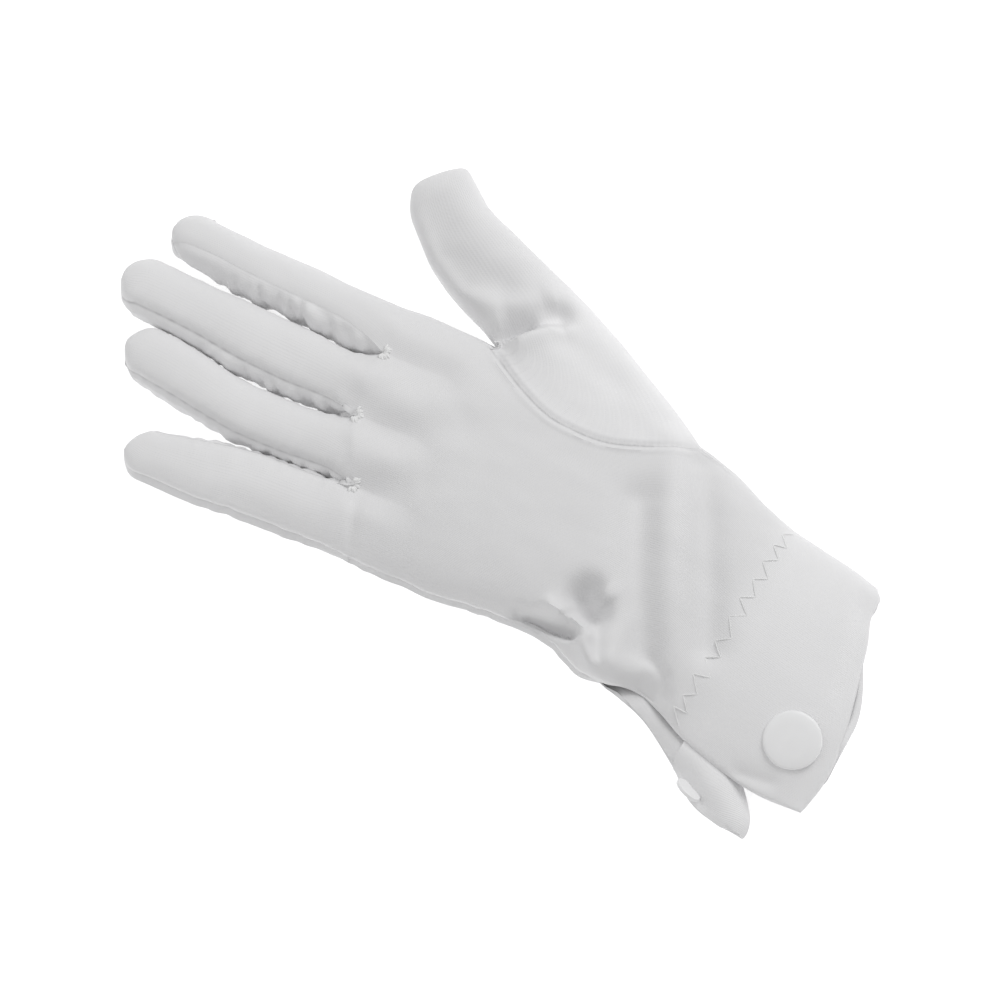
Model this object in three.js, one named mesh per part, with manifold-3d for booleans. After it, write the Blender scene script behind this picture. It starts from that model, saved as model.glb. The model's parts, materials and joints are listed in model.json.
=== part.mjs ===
// White parade glove for the right hand, lying on its back with the palm up.
// Millimetres. +Y points to the fingertips, +X to the thumb side, +Z up.
// The origin is on the resting face, under the middle of the palm.

import * as THREE from 'three';
import { mergeVertices } from 'three/addons/utils/BufferGeometryUtils.js';
import Module from 'manifold-3d';

const wasm = await Module();
wasm.setup();

// Cloth
const WALL = 1.2;
const FACING_WALL = 1.0;
const SEAM_GAP = 0.3;
const TRIM_GAP = 0.12;

// Hand: palm width across the knuckles, origin to finger roots, origin to cuff edge
const PALM_WIDTH = 80;
const ROOT_REACH = 50;
const CUFF_REACH = 110;

// Free lengths of the fingers, from their roots to the tips
const INDEX_LENGTH = 79.5;
const MIDDLE_LENGTH = 83.5;
const RING_LENGTH = 78;
const LITTLE_LENGTH = 70;
const THUMB_LENGTH = 80;

// Heights of the lightly filled glove above the surface that it lies on
const PALM_HEIGHT = 18;
const FINGER_HEIGHT = 13;
const THUMB_HEIGHT = 17;
const SIDE_HEIGHT = 5.5;

// Shape of the sections: rounder near 2, boxier above; press flattens the underside
const TOP_ROUNDNESS = 2.35;
const UNDER_ROUNDNESS = 2.7;
const PALM_ROUNDNESS = 2.6;
const REST_PRESS = 1.2;
const TIP_BLUNTNESS = 2.5;
const LONGEST_TIP = 0.3;

// Share of the back layer's half width that lies flat on the surface
const BACK_FLAT = 0.8;

// Height of the widest line of a finger and of its tip, as shares of SIDE_HEIGHT
const FINGER_LIFT = 0.95;
const TIP_LIFT = 1.0;

// Share of a finger's and of the thumb's length over which it takes its own section
const FINGER_BLEND = 0.24;
const THUMB_BLEND = 0.5;
const THUMB_EASE = 1.7;

// Thumb hole: how far its seam runs in from the fold, on the palm and on the back
const THUMB_INSET = 16.2;
const THUMB_INSET_BACK = 9;

// Wrist: length of the facing inside the cuff, height of the free flap's edge
const FACING_SHARE = 0.25;
const FLAP_EDGE_HEIGHT = 6.8;
const TONGUE_CURL = 1.6;

// Snap fastener
const SNAP_CAP_RADIUS = 8.5;
const SNAP_CAP_HEIGHT = 2.2;
const SNAP_SOCKET_RADIUS = 5.5;
const SNAP_SOCKET_HEIGHT = 1.1;
const SNAP_STUD_RADIUS = 5;
const SNAP_STUD_HEIGHT = 1.1;
const SNAP_NUB_RADIUS = 2;
const SNAP_NUB_HEIGHT = 1.2;
const SNAP_SIDES = 20;

// Places of the cap and the stud: column across the layer and row up from the cuff edge
const CAP_PLACE = { column: 2.92, row: 1.85 };
const STUD_PLACE = { column: 3.8, row: 3.6 };

// Mesh steps
const ROWS = 24;
const COLUMNS_PER_FINGER = 4;
const FORK_COLUMNS = 2;
const FINGER_STEPS = [0, 0.06, 0.14, 0.23, 0.33, 0.43, 0.53, 0.63, 0.73, 0.82, 0.91, 1];
const THUMB_STEPS = [0, 0.1, 0.2, 0.3, 0.4, 0.5, 0.6, 0.7, 0.8, 0.88, 0.94, 0.975];
const TIP_ANGLES = [28, 50, 70, 90];

// Rows along the palm where the vent ends and where the thumb hole starts and ends;
// the hole's seam runs on the line across the palm that HOLE_EDGE names
const VENT_ROW = 12;
const VENT_OPENING_ROWS = 2.5;
const HOLE_START_ROW = 13;
const HOLE_END_ROW = 22;
const HOLE_EDGE = 0.25;

const HALF_WIDTH = PALM_WIDTH / 2;
const FINGERS = 4;
const PITCH = PALM_WIDTH / FINGERS;
const FULL_TURN = 360;

// Stations of the palm from the cuff edge (at 0) to the finger roots (at 1).
// x is a share of HALF_WIDTH; y is a share of ROOT_REACH if positive, else of CUFF_REACH.
// fold is the edge on the thumb side, side the seam or vent edge of the palm layer,
// tongue the vent edge of the back layer, crown the height as a share of PALM_HEIGHT.
const STATIONS = [
  { at: 0.0, fold: [0.41, -0.985], side: [-1.345, -1.05], tongue: [-1.655, -0.945], crown: 0.72 },
  { at: 0.07, fold: [0.45, -0.9], side: [-1.375, -0.935], tongue: [-1.68, -0.885], crown: 0.75 },
  { at: 0.16, fold: [0.482, -0.79], side: [-1.335, -0.81], tongue: [-1.62, -0.79], crown: 0.79 },
  { at: 0.25, fold: [0.515, -0.69], side: [-1.257, -0.69], tongue: [-1.45, -0.7], crown: 0.82 },
  { at: 0.33, fold: [0.585, -0.6], side: [-1.155, -0.6], tongue: [-1.29, -0.6], crown: 0.84 },
  { at: 0.42, fold: [0.68, -0.51], side: [-1.105, -0.523], tongue: [-1.215, -0.527], crown: 0.87 },
  { at: 0.5, fold: [0.75, -0.42], side: [-1.165, -0.43], tongue: [-1.165, -0.43], crown: 0.92 },
  { at: 0.542, fold: [0.77, -0.37], side: [-1.17, -0.37], tongue: [-1.17, -0.37], crown: 0.95 },
  { at: 0.62, fold: [0.83, -0.235], side: [-1.06, -0.25], tongue: [-1.06, -0.25], crown: 0.98 },
  { at: 0.71, fold: [0.86, -0.08], side: [-1.075, -0.11], tongue: [-1.075, -0.11], crown: 1.0 },
  { at: 0.8, fold: [0.85, 0.16], side: [-1.145, 0.1], tongue: [-1.145, 0.1], crown: 1.0 },
  { at: 0.917, fold: [0.765, 0.55], side: [-1.18, 0.4], tongue: [-1.18, 0.4], crown: 0.95 },
  { at: 1.0, fold: [0.74, 0.96], side: [-1.2, 0.68], tongue: [-1.2, 0.68], crown: 0.86 },
];

// Finger roots: the five ends of the root row, x and y in the same shares
const ROOTS = [
  { x: 0.74, y: 0.96 },
  { x: 0.28, y: 1.1 },
  { x: -0.24, y: 1.06 },
  { x: -0.722, y: 0.87 },
  { x: -1.2, y: 0.68 },
];
// Stations between which the rows turn from straight lines into the line of the roots,
// and from which the layer dips between the fingers, by ROOT_DIP of its height
const ROOT_START = 0.72;
const DIP_START = 0.86;
const ROOT_DIP = 0.3;
const CROTCH_SAG = 0.6;

// Bow of the palm's cuff edge as a share of CUFF_REACH, fullest past the middle towards the
// vent, and the station where the shape of both cuff edges has died out
const CUFF_BOW = 0.038;
const BOW_SKEW = 2;
const CUFF_BLEND = 0.3;

// The back's cuff edge runs out beyond the line from the fold (0) to the vent (1) and comes
// back to it at a tongue: depth as a share of CUFF_REACH, the rest are places on that line
const BACK_CUFF = { depth: 0.12, start: 0.18, full: 0.52, ease: 0.74, end: 0.93 };

// Sections along a finger: centre as a share of HALF_WIDTH, half width as a share of PITCH,
// crown as a share of FINGER_HEIGHT. tip is the tip's place in the same share as centre; seams are
// the angles of its seams, from the thumb side (0) over the top.
const FINGER_TABLES = [
  {
    name: 'index',
    length: INDEX_LENGTH,
    tip: 0.415,
    seams: { palmThumb: 0, palmLittle: 112, backLittle: 205, backThumb: FULL_TURN },
    sections: [
      { at: 0.0, centre: 0.475, half: 0.48, crown: 1.0 },
      { at: 0.1, centre: 0.475, half: 0.46, crown: 1.0 },
      { at: 0.3, centre: 0.468, half: 0.43, crown: 1.0 },
      { at: 0.5, centre: 0.46, half: 0.415, crown: 0.98 },
      { at: 0.65, centre: 0.45, half: 0.405, crown: 0.95 },
      { at: 0.8, centre: 0.45, half: 0.4, crown: 0.92 },
      { at: 1.0, centre: 0.42, half: 0.39, crown: 0.84 },
    ],
  },
  {
    name: 'middle',
    length: MIDDLE_LENGTH,
    tip: -0.01,
    seams: { palmThumb: -16, palmLittle: 138, backLittle: 208, backThumb: 316 },
    sections: [
      { at: 0.0, centre: -0.02, half: 0.5, crown: 1.04 },
      { at: 0.1, centre: -0.03, half: 0.47, crown: 1.04 },
      { at: 0.3, centre: -0.046, half: 0.53, crown: 1.04 },
      { at: 0.5, centre: -0.052, half: 0.51, crown: 1.0 },
      { at: 0.65, centre: -0.048, half: 0.47, crown: 0.97 },
      { at: 0.8, centre: -0.045, half: 0.455, crown: 0.94 },
      { at: 1.0, centre: -0.015, half: 0.44, crown: 0.88 },
    ],
  },
  {
    name: 'ring',
    length: RING_LENGTH,
    tip: -0.48,
    seams: { palmThumb: -8, palmLittle: 150, backLittle: 212, backThumb: 318 },
    sections: [
      { at: 0.0, centre: -0.495, half: 0.46, crown: 0.98 },
      { at: 0.1, centre: -0.505, half: 0.405, crown: 0.98 },
      { at: 0.3, centre: -0.548, half: 0.42, crown: 0.98 },
      { at: 0.5, centre: -0.57, half: 0.43, crown: 0.95 },
      { at: 0.65, centre: -0.548, half: 0.44, crown: 0.93 },
      { at: 0.8, centre: -0.52, half: 0.435, crown: 0.9 },
      { at: 1.0, centre: -0.49, half: 0.41, crown: 0.84 },
    ],
  },
  {
    name: 'little',
    length: LITTLE_LENGTH,
    tip: -1.235,
    seams: { palmThumb: 25, palmLittle: 188, backLittle: 188, backThumb: 328 },
    sections: [
      { at: 0.0, centre: -0.96, half: 0.49, crown: 0.94 },
      { at: 0.1, centre: -0.965, half: 0.475, crown: 0.94 },
      { at: 0.3, centre: -1.0, half: 0.475, crown: 0.92 },
      { at: 0.5, centre: -1.04, half: 0.475, crown: 0.88 },
      { at: 0.65, centre: -1.095, half: 0.45, crown: 0.86 },
      { at: 0.8, centre: -1.145, half: 0.39, crown: 0.84 },
      { at: 1.0, centre: -1.19, half: 0.34, crown: 0.8 },
    ],
  },
];

// Sections along the thumb. inner and outer are the ends of its widest line, x and y as shares
// of THUMB_LENGTH from THUMB_HEART on the hole's chord; crown is a share of THUMB_HEIGHT.
const THUMB_HEART = [0.82, -0.09];
const THUMB_SECTIONS = [
  { at: 0.0, inner: [-0.027, 0.468], outer: [-0.03, -0.38], crown: 1.0 },
  { at: 0.15, inner: [-0.02, 0.493], outer: [0.05, -0.25], crown: 1.02 },
  { at: 0.3, inner: [-0.008, 0.52], outer: [0.15, -0.04], crown: 1.02 },
  { at: 0.45, inner: [0.01, 0.56], outer: [0.245, 0.175], crown: 1.0 },
  { at: 0.6, inner: [0.03, 0.61], outer: [0.318, 0.385], crown: 0.97 },
  { at: 0.75, inner: [0.085, 0.735], outer: [0.39, 0.59], crown: 0.93 },
  { at: 0.88, inner: [0.165, 0.865], outer: [0.445, 0.745], crown: 0.87 },
  { at: 0.95, inner: [0.255, 0.96], outer: [0.497, 0.835], crown: 0.8 },
  { at: 1.0, inner: [0.348, 1.025], outer: [0.575, 0.918], crown: 0.66 },
];
const THUMB_TIP = [0.485, 1.012];

// Folds on the upper side: valleys have a positive depth, ridges a negative one.
// from and to use the station shares; width and depth are shares of PALM_HEIGHT.
const FOLDS = [
  { from: [0.12, -0.36], to: [-1.15, -0.62], width: 0.27, depth: 0.17 },
  { from: [0.7, -0.34], to: [-1.0, -0.61], width: 0.27, depth: -0.07 },
  { from: [0.6, -0.4], to: [-0.4, -0.66], width: 0.27, depth: 0.15 },
  { from: [-1.0, -0.16], to: [-0.93, -0.33], width: 0.22, depth: 0.22 },
  { from: [-0.78, -0.28], to: [-0.62, -0.34], width: 0.3, depth: 0.17 },
  { from: [-1.1, -0.42], to: [-0.94, -0.53], width: 0.25, depth: -0.12 },
  { from: [-0.46, 1.02], to: [0.0, 0.46], width: 0.25, depth: 0.08 },
  { from: [-0.14, 1.1], to: [0.3, 0.72], width: 0.22, depth: 0.07 },
  { from: [-0.74, 0.8], to: [-0.5, 0.5], width: 0.22, depth: 0.08 },
  { from: [0.72, 0.52], to: [1.07, 0.29], width: 0.17, depth: 0.17 },
  { from: [1.0, 0.22], to: [0.86, -0.16], width: 0.25, depth: 0.09 },
];

function clamp(value, low, high) {
  return Math.min(high, Math.max(low, value));
}

function mix(a, b, share) {
  return a + (b - a) * share;
}

function smooth(low, high, value) {
  const share = clamp((value - low) / (high - low), 0, 1);
  return share * share * (3 - 2 * share);
}

function signedPower(value, power) {
  return Math.sign(value) * Math.abs(value) ** power;
}

// Catmull-Rom reading of one number column of a table that has an "at" column
function read(table, at, column) {
  const last = table.length - 1;
  let low = 0;
  while (low < last - 1 && table[low + 1].at < at) {
    low += 1;
  }
  const share = clamp((at - table[low].at) / (table[low + 1].at - table[low].at), 0, 1);
  const step = table[low + 1].at - table[low].at;
  const slope = (i) => {
    const a = Math.max(0, i - 1);
    const b = Math.min(last, i + 1);
    return (column(table[b]) - column(table[a])) / (table[b].at - table[a].at);
  };
  const start = column(table[low]);
  const end = column(table[low + 1]);
  const s2 = share * share;
  const s3 = s2 * share;
  return (2 * s3 - 3 * s2 + 1) * start + (s3 - 2 * s2 + share) * step * slope(low)
    + (3 * s2 - 2 * s3) * end + (s3 - s2) * step * slope(low + 1);
}

function placeX(share) {
  return share * HALF_WIDTH;
}

function placeY(share) {
  return share * (share < 0 ? CUFF_REACH : ROOT_REACH);
}

// Sum of the folds at a place on the upper side
function foldDepth(x, y) {
  let depth = 0;
  for (const fold of FOLDS) {
    const ax = placeX(fold.from[0]);
    const ay = placeY(fold.from[1]);
    const dx = placeX(fold.to[0]) - ax;
    const dy = placeY(fold.to[1]) - ay;
    const share = clamp(((x - ax) * dx + (y - ay) * dy) / (dx * dx + dy * dy), 0, 1);
    const away = Math.hypot(x - ax - share * dx, y - ay - share * dy);
    const width = fold.width * PALM_HEIGHT;
    depth += fold.depth * PALM_HEIGHT * Math.exp(-((away / width) ** 2));
  }
  return depth;
}

// Share of the way round the thumb hole, 0 outside it
function holeShare(row) {
  const share = (row - HOLE_START_ROW) / (HOLE_END_ROW - HOLE_START_ROW);
  return share <= 0 || share >= 1 ? 0 : Math.sin(Math.PI * share) ** 0.9;
}

// Place across the palm, 0 at the fold and 4 at the little side, as a share of the width
function acrossShare(column, crowding = 0.3) {
  const even = column / FINGERS;
  return mix(even, (1 - Math.cos(Math.PI * even)) / 2, crowding);
}

function rootPoint(column) {
  const low = Math.min(FINGERS - 1, Math.floor(column));
  const table = ROOTS.map((root, index) => ({ at: index, ...root }));
  const x = mix(ROOTS[low].x, ROOTS[low + 1].x, column - low);
  return [placeX(x), placeY(read(table, column, (root) => root.y))];
}

// One point of the palm (upper) or back (lower) layer. row counts from the cuff to the roots.
function trunkPoint(column, row, upper) {
  const at = row / ROWS;
  const station = (name, axis) => read(STATIONS, at, (entry) => entry[name][axis]);
  const fold = [placeX(station('fold', 0)), placeY(station('fold', 1))];
  const sideName = upper || row >= VENT_ROW ? 'side' : 'tongue';
  const side = [placeX(station(sideName, 0)), placeY(station(sideName, 1))];
  const width = Math.hypot(fold[0] - side[0], fold[1] - side[1]);
  const inset = holeShare(row) * (upper ? THUMB_INSET : THUMB_INSET_BACK);
  const edge = acrossShare(HOLE_EDGE);
  const seam = 1 - 2 * edge - 2 * inset / width;
  const v = column <= HOLE_EDGE
    ? mix(1, seam, column / HOLE_EDGE)
    : mix(seam, -1, (acrossShare(column) - edge) / (1 - edge));
  const along = (1 - v) / 2;
  let x = mix(fold[0], side[0], along);
  let y = mix(fold[1], side[1], along);

  const rooted = smooth(ROOT_START, 1, at);
  const [rootX, rootY] = rootPoint(column);
  const topFold = [placeX(ROOTS[0].x), placeY(ROOTS[0].y)];
  const topSide = [placeX(ROOTS[FINGERS].x), placeY(ROOTS[FINGERS].y)];
  const topAlong = acrossShare(column);
  x += rooted * (rootX - mix(topFold[0], topSide[0], topAlong));
  y += rooted * (rootY - mix(topFold[1], topSide[1], topAlong));

  const cuffed = CUFF_REACH * (1 - smooth(0, CUFF_BLEND, at));
  if (upper) {
    y -= cuffed * CUFF_BOW * Math.sin(Math.PI * along ** BOW_SKEW);
    return [x, y, palmHeight(v, at, row, x, y, column)];
  }
  const { depth, start, full, ease, end } = BACK_CUFF;
  y -= cuffed * depth * smooth(start, full, along) * (1 - smooth(ease, end, along));
  return [x, y, backHeight(v, row)];
}

// Share by which the vent on the little side is open at a row
function ventShare(row) {
  const share = clamp((VENT_ROW - row) / VENT_OPENING_ROWS, 0, 1);
  return 1 - (1 - share) ** 2;
}

function palmHeight(v, at, row, x, y, column) {
  const crown = PALM_HEIGHT * read(STATIONS, at, (entry) => entry.crown);
  const reach = Math.min(1, Math.abs(v));
  const round = (1 - reach ** PALM_ROUNDNESS) ** (1 / PALM_ROUNDNESS);
  let z = mix(SIDE_HEIGHT, crown, round);
  if (v < 0) {
    const free = mix(FLAP_EDGE_HEIGHT, crown, 1 - reach ** 2);
    z = mix(z, free, ventShare(row));
  }
  const near = smooth(DIP_START, 1, at);
  const nearest = Math.abs(column - Math.round(column)) * 2;
  const inside = column > 0.5 && column < FINGERS - 0.5;
  const dip = inside ? near * ROOT_DIP * (1 - Math.sqrt(nearest)) : 0;
  z -= dip * (z - SIDE_HEIGHT);
  return z - foldDepth(x, y) * round * (1 - 0.5 * near);
}

function backHeight(v, row) {
  const over = clamp((Math.abs(v) - BACK_FLAT) / (1 - BACK_FLAT), 0, 1);
  const vent = v < 0 ? ventShare(row) : 0;
  const lift = mix(SIDE_HEIGHT, TONGUE_CURL, vent);
  return lift * (1 - Math.sqrt(1 - over * over));
}

// Height of a section at a share of its half width, over or under its widest line
function sectionHeight(across, over, crown, lift) {
  const power = over ? TOP_ROUNDNESS : UNDER_ROUNDNESS;
  const bulge = Math.max(0, 1 - Math.abs(across) ** power) ** (1 / power);
  return over ? mix(lift, crown, bulge) : Math.max(0, lift - REST_PRESS * lift * bulge);
}

// Share of the half width at an angle from the thumb side (0) over the top to the little side
function sectionAcross(degrees) {
  const angle = THREE.MathUtils.degToRad(degrees);
  const power = Math.sin(angle) > 0 ? TOP_ROUNDNESS : UNDER_ROUNDNESS;
  return signedPower(Math.cos(angle), 2 / power);
}

// Steps along a finger with the rounded tip: share of the length and share of the section
function fingerSteps(length, half) {
  const round = Math.min(LONGEST_TIP, half / length);
  const body = FINGER_STEPS.map((at) => ({ at: at * (1 - round), size: 1 }));
  const tip = TIP_ANGLES.map((degrees) => {
    const ahead = Math.sin(THREE.MathUtils.degToRad(degrees));
    const size = (1 - ahead ** TIP_BLUNTNESS) ** (1 / TIP_BLUNTNESS);
    return { at: mix(1 - round, 1, ahead), size };
  });
  return [...body, ...tip];
}

// Row where a fourchette has run out to its point
const FORK_END = FINGER_STEPS.length - 1;

function seamAngles(finger, step) {
  const shut = smooth(0.6, 1, step / FORK_END);
  const { palmThumb, palmLittle, backLittle, backThumb } = finger.seams;
  return {
    palmThumb,
    palmLittle,
    backLittle: mix(backLittle, palmLittle, shut),
    backThumb: mix(backThumb, palmThumb + FULL_TURN, shut),
  };
}

// Middle of the line between the two roots of a finger
function fingerRootY(finger) {
  const number = FINGER_TABLES.indexOf(finger);
  return placeY((ROOTS[number].y + ROOTS[number + 1].y) / 2);
}

// One point of a finger. root is the point where this line of cloth leaves the palm.
function fingerPoint(finger, step, degrees, root) {
  const wide = PITCH * read(finger.sections, 1, (entry) => entry.half);
  const { at, size } = fingerSteps(finger.length, wide)[step];
  const centre = placeX(read(finger.sections, at, (entry) => entry.centre));
  const half = PITCH * read(finger.sections, at, (entry) => entry.half) * size;
  const crown = FINGER_HEIGHT * read(finger.sections, at, (entry) => entry.crown);
  const lift = SIDE_HEIGHT * FINGER_LIFT;
  const across = sectionAcross(degrees);
  const over = Math.sin(THREE.MathUtils.degToRad(degrees)) > 0;
  const z = sectionHeight(across, over, crown, lift);
  const skewed = mix(placeX(finger.tip), centre + half * across, size ** 0.5);
  const shrunk = mix(SIDE_HEIGHT * TIP_LIFT, z, size ** 0.5);
  const y = mix(root[1], fingerRootY(finger) + finger.length, at);
  const away = clamp(at / FINGER_BLEND, 0, 1);
  const loose = 1 - (1 - away) ** 2;
  return [mix(root[0], skewed, loose), y, mix(root[2], shrunk, loose)];
}

// A place on the thumb from its shares of THUMB_LENGTH
function thumbPlace([x, y]) {
  return [placeX(THUMB_HEART[0]) + THUMB_LENGTH * x, placeY(THUMB_HEART[1]) + THUMB_LENGTH * y];
}

// The two ends of the thumb's widest line at a section
function thumbLine(at) {
  const end = (name) => [0, 1].map((axis) => read(THUMB_SECTIONS, at, (entry) => entry[name][axis]));
  return { inner: thumbPlace(end('inner')), outer: thumbPlace(end('outer')) };
}

// One point of the thumb; around runs from 0 at the inner edge over the top to 1 at the outer edge
function thumbPoint(step, around, upper, seam) {
  const at = THUMB_STEPS[step] ?? 1;
  const { inner, outer } = thumbLine(at);
  const crown = THUMB_HEIGHT * read(THUMB_SECTIONS, at, (entry) => entry.crown);
  const round = sectionAcross((upper ? 1 : -1) * (FULL_TURN / 2) * around);
  const share = mix(1 - 2 * acrossShare(around * FINGERS, -0.4), round, smooth(0.2, 0.7, at));
  let x = mix(outer[0], inner[0], (1 + share) / 2);
  let y = mix(outer[1], inner[1], (1 + share) / 2);
  let height = sectionHeight(share, upper, crown, SIDE_HEIGHT);
  if (step === THUMB_STEPS.length) {
    [x, y] = thumbPlace(THUMB_TIP);
    height = SIDE_HEIGHT;
  }
  const away = clamp(at / THUMB_BLEND, 0, 1);
  const loose = 1 - (1 - away) ** THUMB_EASE;
  const top = upper ? foldDepth(x, y) * Math.sin(Math.PI * around) * loose : 0;
  return [mix(seam[0], x, loose), mix(seam[1], y, loose), mix(seam[2], height, loose) - top];
}

// A skin of shared points, with faces filed under the piece of cloth that they belong to
class Skin {
  constructor() {
    this.points = [];
    this.index = new Map();
    this.pieces = new Map();
  }

  add(point) {
    const key = point.map((value) => Math.round(value * 1e4)).join(' ');
    if (!this.index.has(key)) {
      this.index.set(key, this.points.length);
      this.points.push(new THREE.Vector3(...point));
    }
    return this.index.get(key);
  }

  face(piece, corners) {
    const ring = corners.filter((id, i) => id !== corners[(i + 1) % corners.length]);
    if (ring.length < 3 || new Set(ring).size < ring.length) {
      return;
    }
    if (!this.pieces.has(piece)) {
      this.pieces.set(piece, []);
    }
    const faces = this.pieces.get(piece);
    faces.push([ring[0], ring[1], ring[2]]);
    if (ring.length === 4) {
      faces.push([ring[0], ring[2], ring[3]]);
    }
  }

  // A grid of points; its faces look to the side that rows and columns turn round to the left
  patch(piece, rows, columns, pointAt, isHole = () => false) {
    const ids = [];
    for (let row = 0; row <= rows; row += 1) {
      ids.push([]);
      for (let column = 0; column <= columns; column += 1) {
        ids[row].push(this.add(pointAt(row, column)));
      }
    }
    for (let row = 0; row < rows; row += 1) {
      for (let column = 0; column < columns; column += 1) {
        const next = ids[row + 1];
        if (!isHole(row, column)) {
          this.face(piece, [ids[row][column], next[column], next[column + 1], ids[row][column + 1]]);
        }
      }
    }
  }

  // Directions out of the skin, weighted by the angle of each face at the point
  outward() {
    const sums = this.points.map(() => new THREE.Vector3());
    for (const faces of this.pieces.values()) {
      for (const face of faces) {
        const corners = face.map((id) => this.points[id]);
        const normal = faceNormal(corners);
        face.forEach((id, i) => {
          const ahead = corners[(i + 1) % 3].clone().sub(corners[i]);
          const back = corners[(i + 2) % 3].clone().sub(corners[i]);
          sums[id].addScaledVector(normal, ahead.angleTo(back));
        });
      }
    }
    return sums.map((sum) => sum.normalize());
  }
}

function faceNormal([a, b, c]) {
  return b.clone().sub(a).cross(c.clone().sub(a)).normalize();
}

// Edges that only one face of a piece has, as pairs of point numbers in that face's order
function rimEdges(faces) {
  const seen = new Map();
  for (const face of faces) {
    face.forEach((from, i) => {
      const to = face[(i + 1) % 3];
      seen.set(`${from} ${to}`, [from, to]);
    });
  }
  return [...seen.values()].filter(([from, to]) => !seen.has(`${to} ${from}`));
}

// The distance by which each rim point moves into its own piece
function rimMoves(skin, outward, faces, distance) {
  const sums = new Map();
  for (const [from, to] of rimEdges(faces)) {
    const edge = skin.points[to].clone().sub(skin.points[from]);
    for (const id of [from, to]) {
      if (!sums.has(id)) {
        sums.set(id, []);
      }
      sums.get(id).push(outward[id].clone().cross(edge).normalize());
    }
  }
  const moves = new Map();
  for (const [id, directions] of sums) {
    const mean = new THREE.Vector3();
    directions.forEach((one) => mean.add(one));
    mean.normalize();
    const sharp = Math.max(0.2, Math.min(...directions.map((one) => mean.dot(one))));
    moves.set(id, mean.multiplyScalar(distance / sharp));
  }
  return moves;
}

// A closed sheet of cloth under the skin, from depth start to depth start + wall
function clothGeometry(skin, outward, faces, start, wall, setback = SEAM_GAP / 2) {
  const layers = [start, start + wall].map((depth) => (
    skin.points.map((point, id) => point.clone().addScaledVector(outward[id], -depth))));
  const moves = rimMoves(skin, outward, faces, setback);
  const numbers = new Map();
  const coordinates = [];
  const number = (id, inner) => {
    const key = `${id} ${inner}`;
    if (!numbers.has(key)) {
      const layer = inner ? 1 : 0;
      const point = layers[layer][id].clone();
      if (moves.has(id)) {
        point.add(moves.get(id));
      }
      point.z = Math.max(0, point.z);
      numbers.set(key, coordinates.length / 3);
      coordinates.push(point.x, point.y, point.z);
    }
    return numbers.get(key);
  };
  const triangles = [];
  for (const [a, b, c] of faces) {
    triangles.push(number(a, false), number(b, false), number(c, false));
    triangles.push(number(c, true), number(b, true), number(a, true));
  }
  for (const [from, to] of rimEdges(faces)) {
    triangles.push(number(to, false), number(from, false), number(from, true));
    triangles.push(number(to, false), number(from, true), number(to, true));
  }
  const geometry = new THREE.BufferGeometry();
  geometry.setAttribute('position', new THREE.Float32BufferAttribute(coordinates, 3));
  geometry.setIndex(triangles);
  geometry.computeVertexNormals();
  return geometry;
}

function buildTrunk(skin) {
  const columns = FINGERS * COLUMNS_PER_FINGER;
  const facingRows = Math.round(ROWS * FACING_SHARE);
  const acrossOf = (column) => column / COLUMNS_PER_FINGER;
  skin.patch('palm_cuff', facingRows, columns, (row, column) => (
    trunkPoint(acrossOf(column), row, true)));
  const inHole = (row, across) => across < HOLE_EDGE
    && row + facingRows >= HOLE_START_ROW && row + facingRows < HOLE_END_ROW;
  skin.patch('palm', ROWS - facingRows, columns, (row, column) => (
    trunkPoint(acrossOf(column), row + facingRows, true)),
  (row, column) => inHole(row, acrossOf(column)));
  skin.patch('back_cuff', facingRows, columns, (row, column) => (
    trunkPoint(acrossOf(columns - column), row, false)));
  skin.patch('back', ROWS - facingRows, columns, (row, column) => (
    trunkPoint(acrossOf(columns - column), row + facingRows, false)),
  (row, column) => inHole(row, acrossOf(columns - column - 1)));
}

// The line between two fingers, from the palm layer down to the back layer
function crotchPoint(column, share) {
  const top = trunkPoint(column, ROWS, true);
  const bottom = trunkPoint(column, ROWS, false);
  const [x, y, z] = top.map((value, axis) => mix(value, bottom[axis], share));
  return [x, y - CROTCH_SAG * Math.sin(Math.PI * share), z];
}

function buildFinger(skin, finger, number) {
  const last = FINGER_STEPS.length + TIP_ANGLES.length - 1;
  const columns = COLUMNS_PER_FINGER;
  skin.patch('palm', last, columns, (step, column) => {
    const { palmThumb, palmLittle } = seamAngles(finger, step);
    const root = trunkPoint(number + column / columns, ROWS, true);
    return fingerPoint(finger, step, mix(palmThumb, palmLittle, column / columns), root);
  });
  skin.patch('back', last, columns, (step, column) => {
    const { backLittle, backThumb } = seamAngles(finger, step);
    const root = trunkPoint(number + 1 - column / columns, ROWS, false);
    return fingerPoint(finger, step, mix(backLittle, backThumb, column / columns), root);
  });
  if (number < FINGERS - 1) {
    skin.patch(`fork_${number}`, FORK_END, FORK_COLUMNS, (step, column) => {
      const { palmLittle, backLittle } = seamAngles(finger, step);
      const share = column / FORK_COLUMNS;
      const root = crotchPoint(number + 1, share);
      return fingerPoint(finger, step, mix(palmLittle, backLittle, share), root);
    });
  }
  if (number > 0) {
    skin.patch(`fork_${number - 1}`, FORK_END, FORK_COLUMNS, (step, column) => {
      const { palmThumb, backThumb } = seamAngles(finger, step);
      const share = column / FORK_COLUMNS;
      const root = crotchPoint(number, 1 - share);
      return fingerPoint(finger, step, mix(backThumb, palmThumb + FULL_TURN, share), root);
    });
  }
}

// The rim of the thumb hole, from the fold at the crotch over one layer to the fold at the wrist
function holeRim(number, upper) {
  const rows = HOLE_END_ROW - HOLE_START_ROW;
  const atFold = number === 0 || number === rows + 2;
  const row = HOLE_END_ROW - clamp(number - 1, 0, rows);
  return trunkPoint(atFold ? 0 : HOLE_EDGE, row, upper);
}

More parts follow.
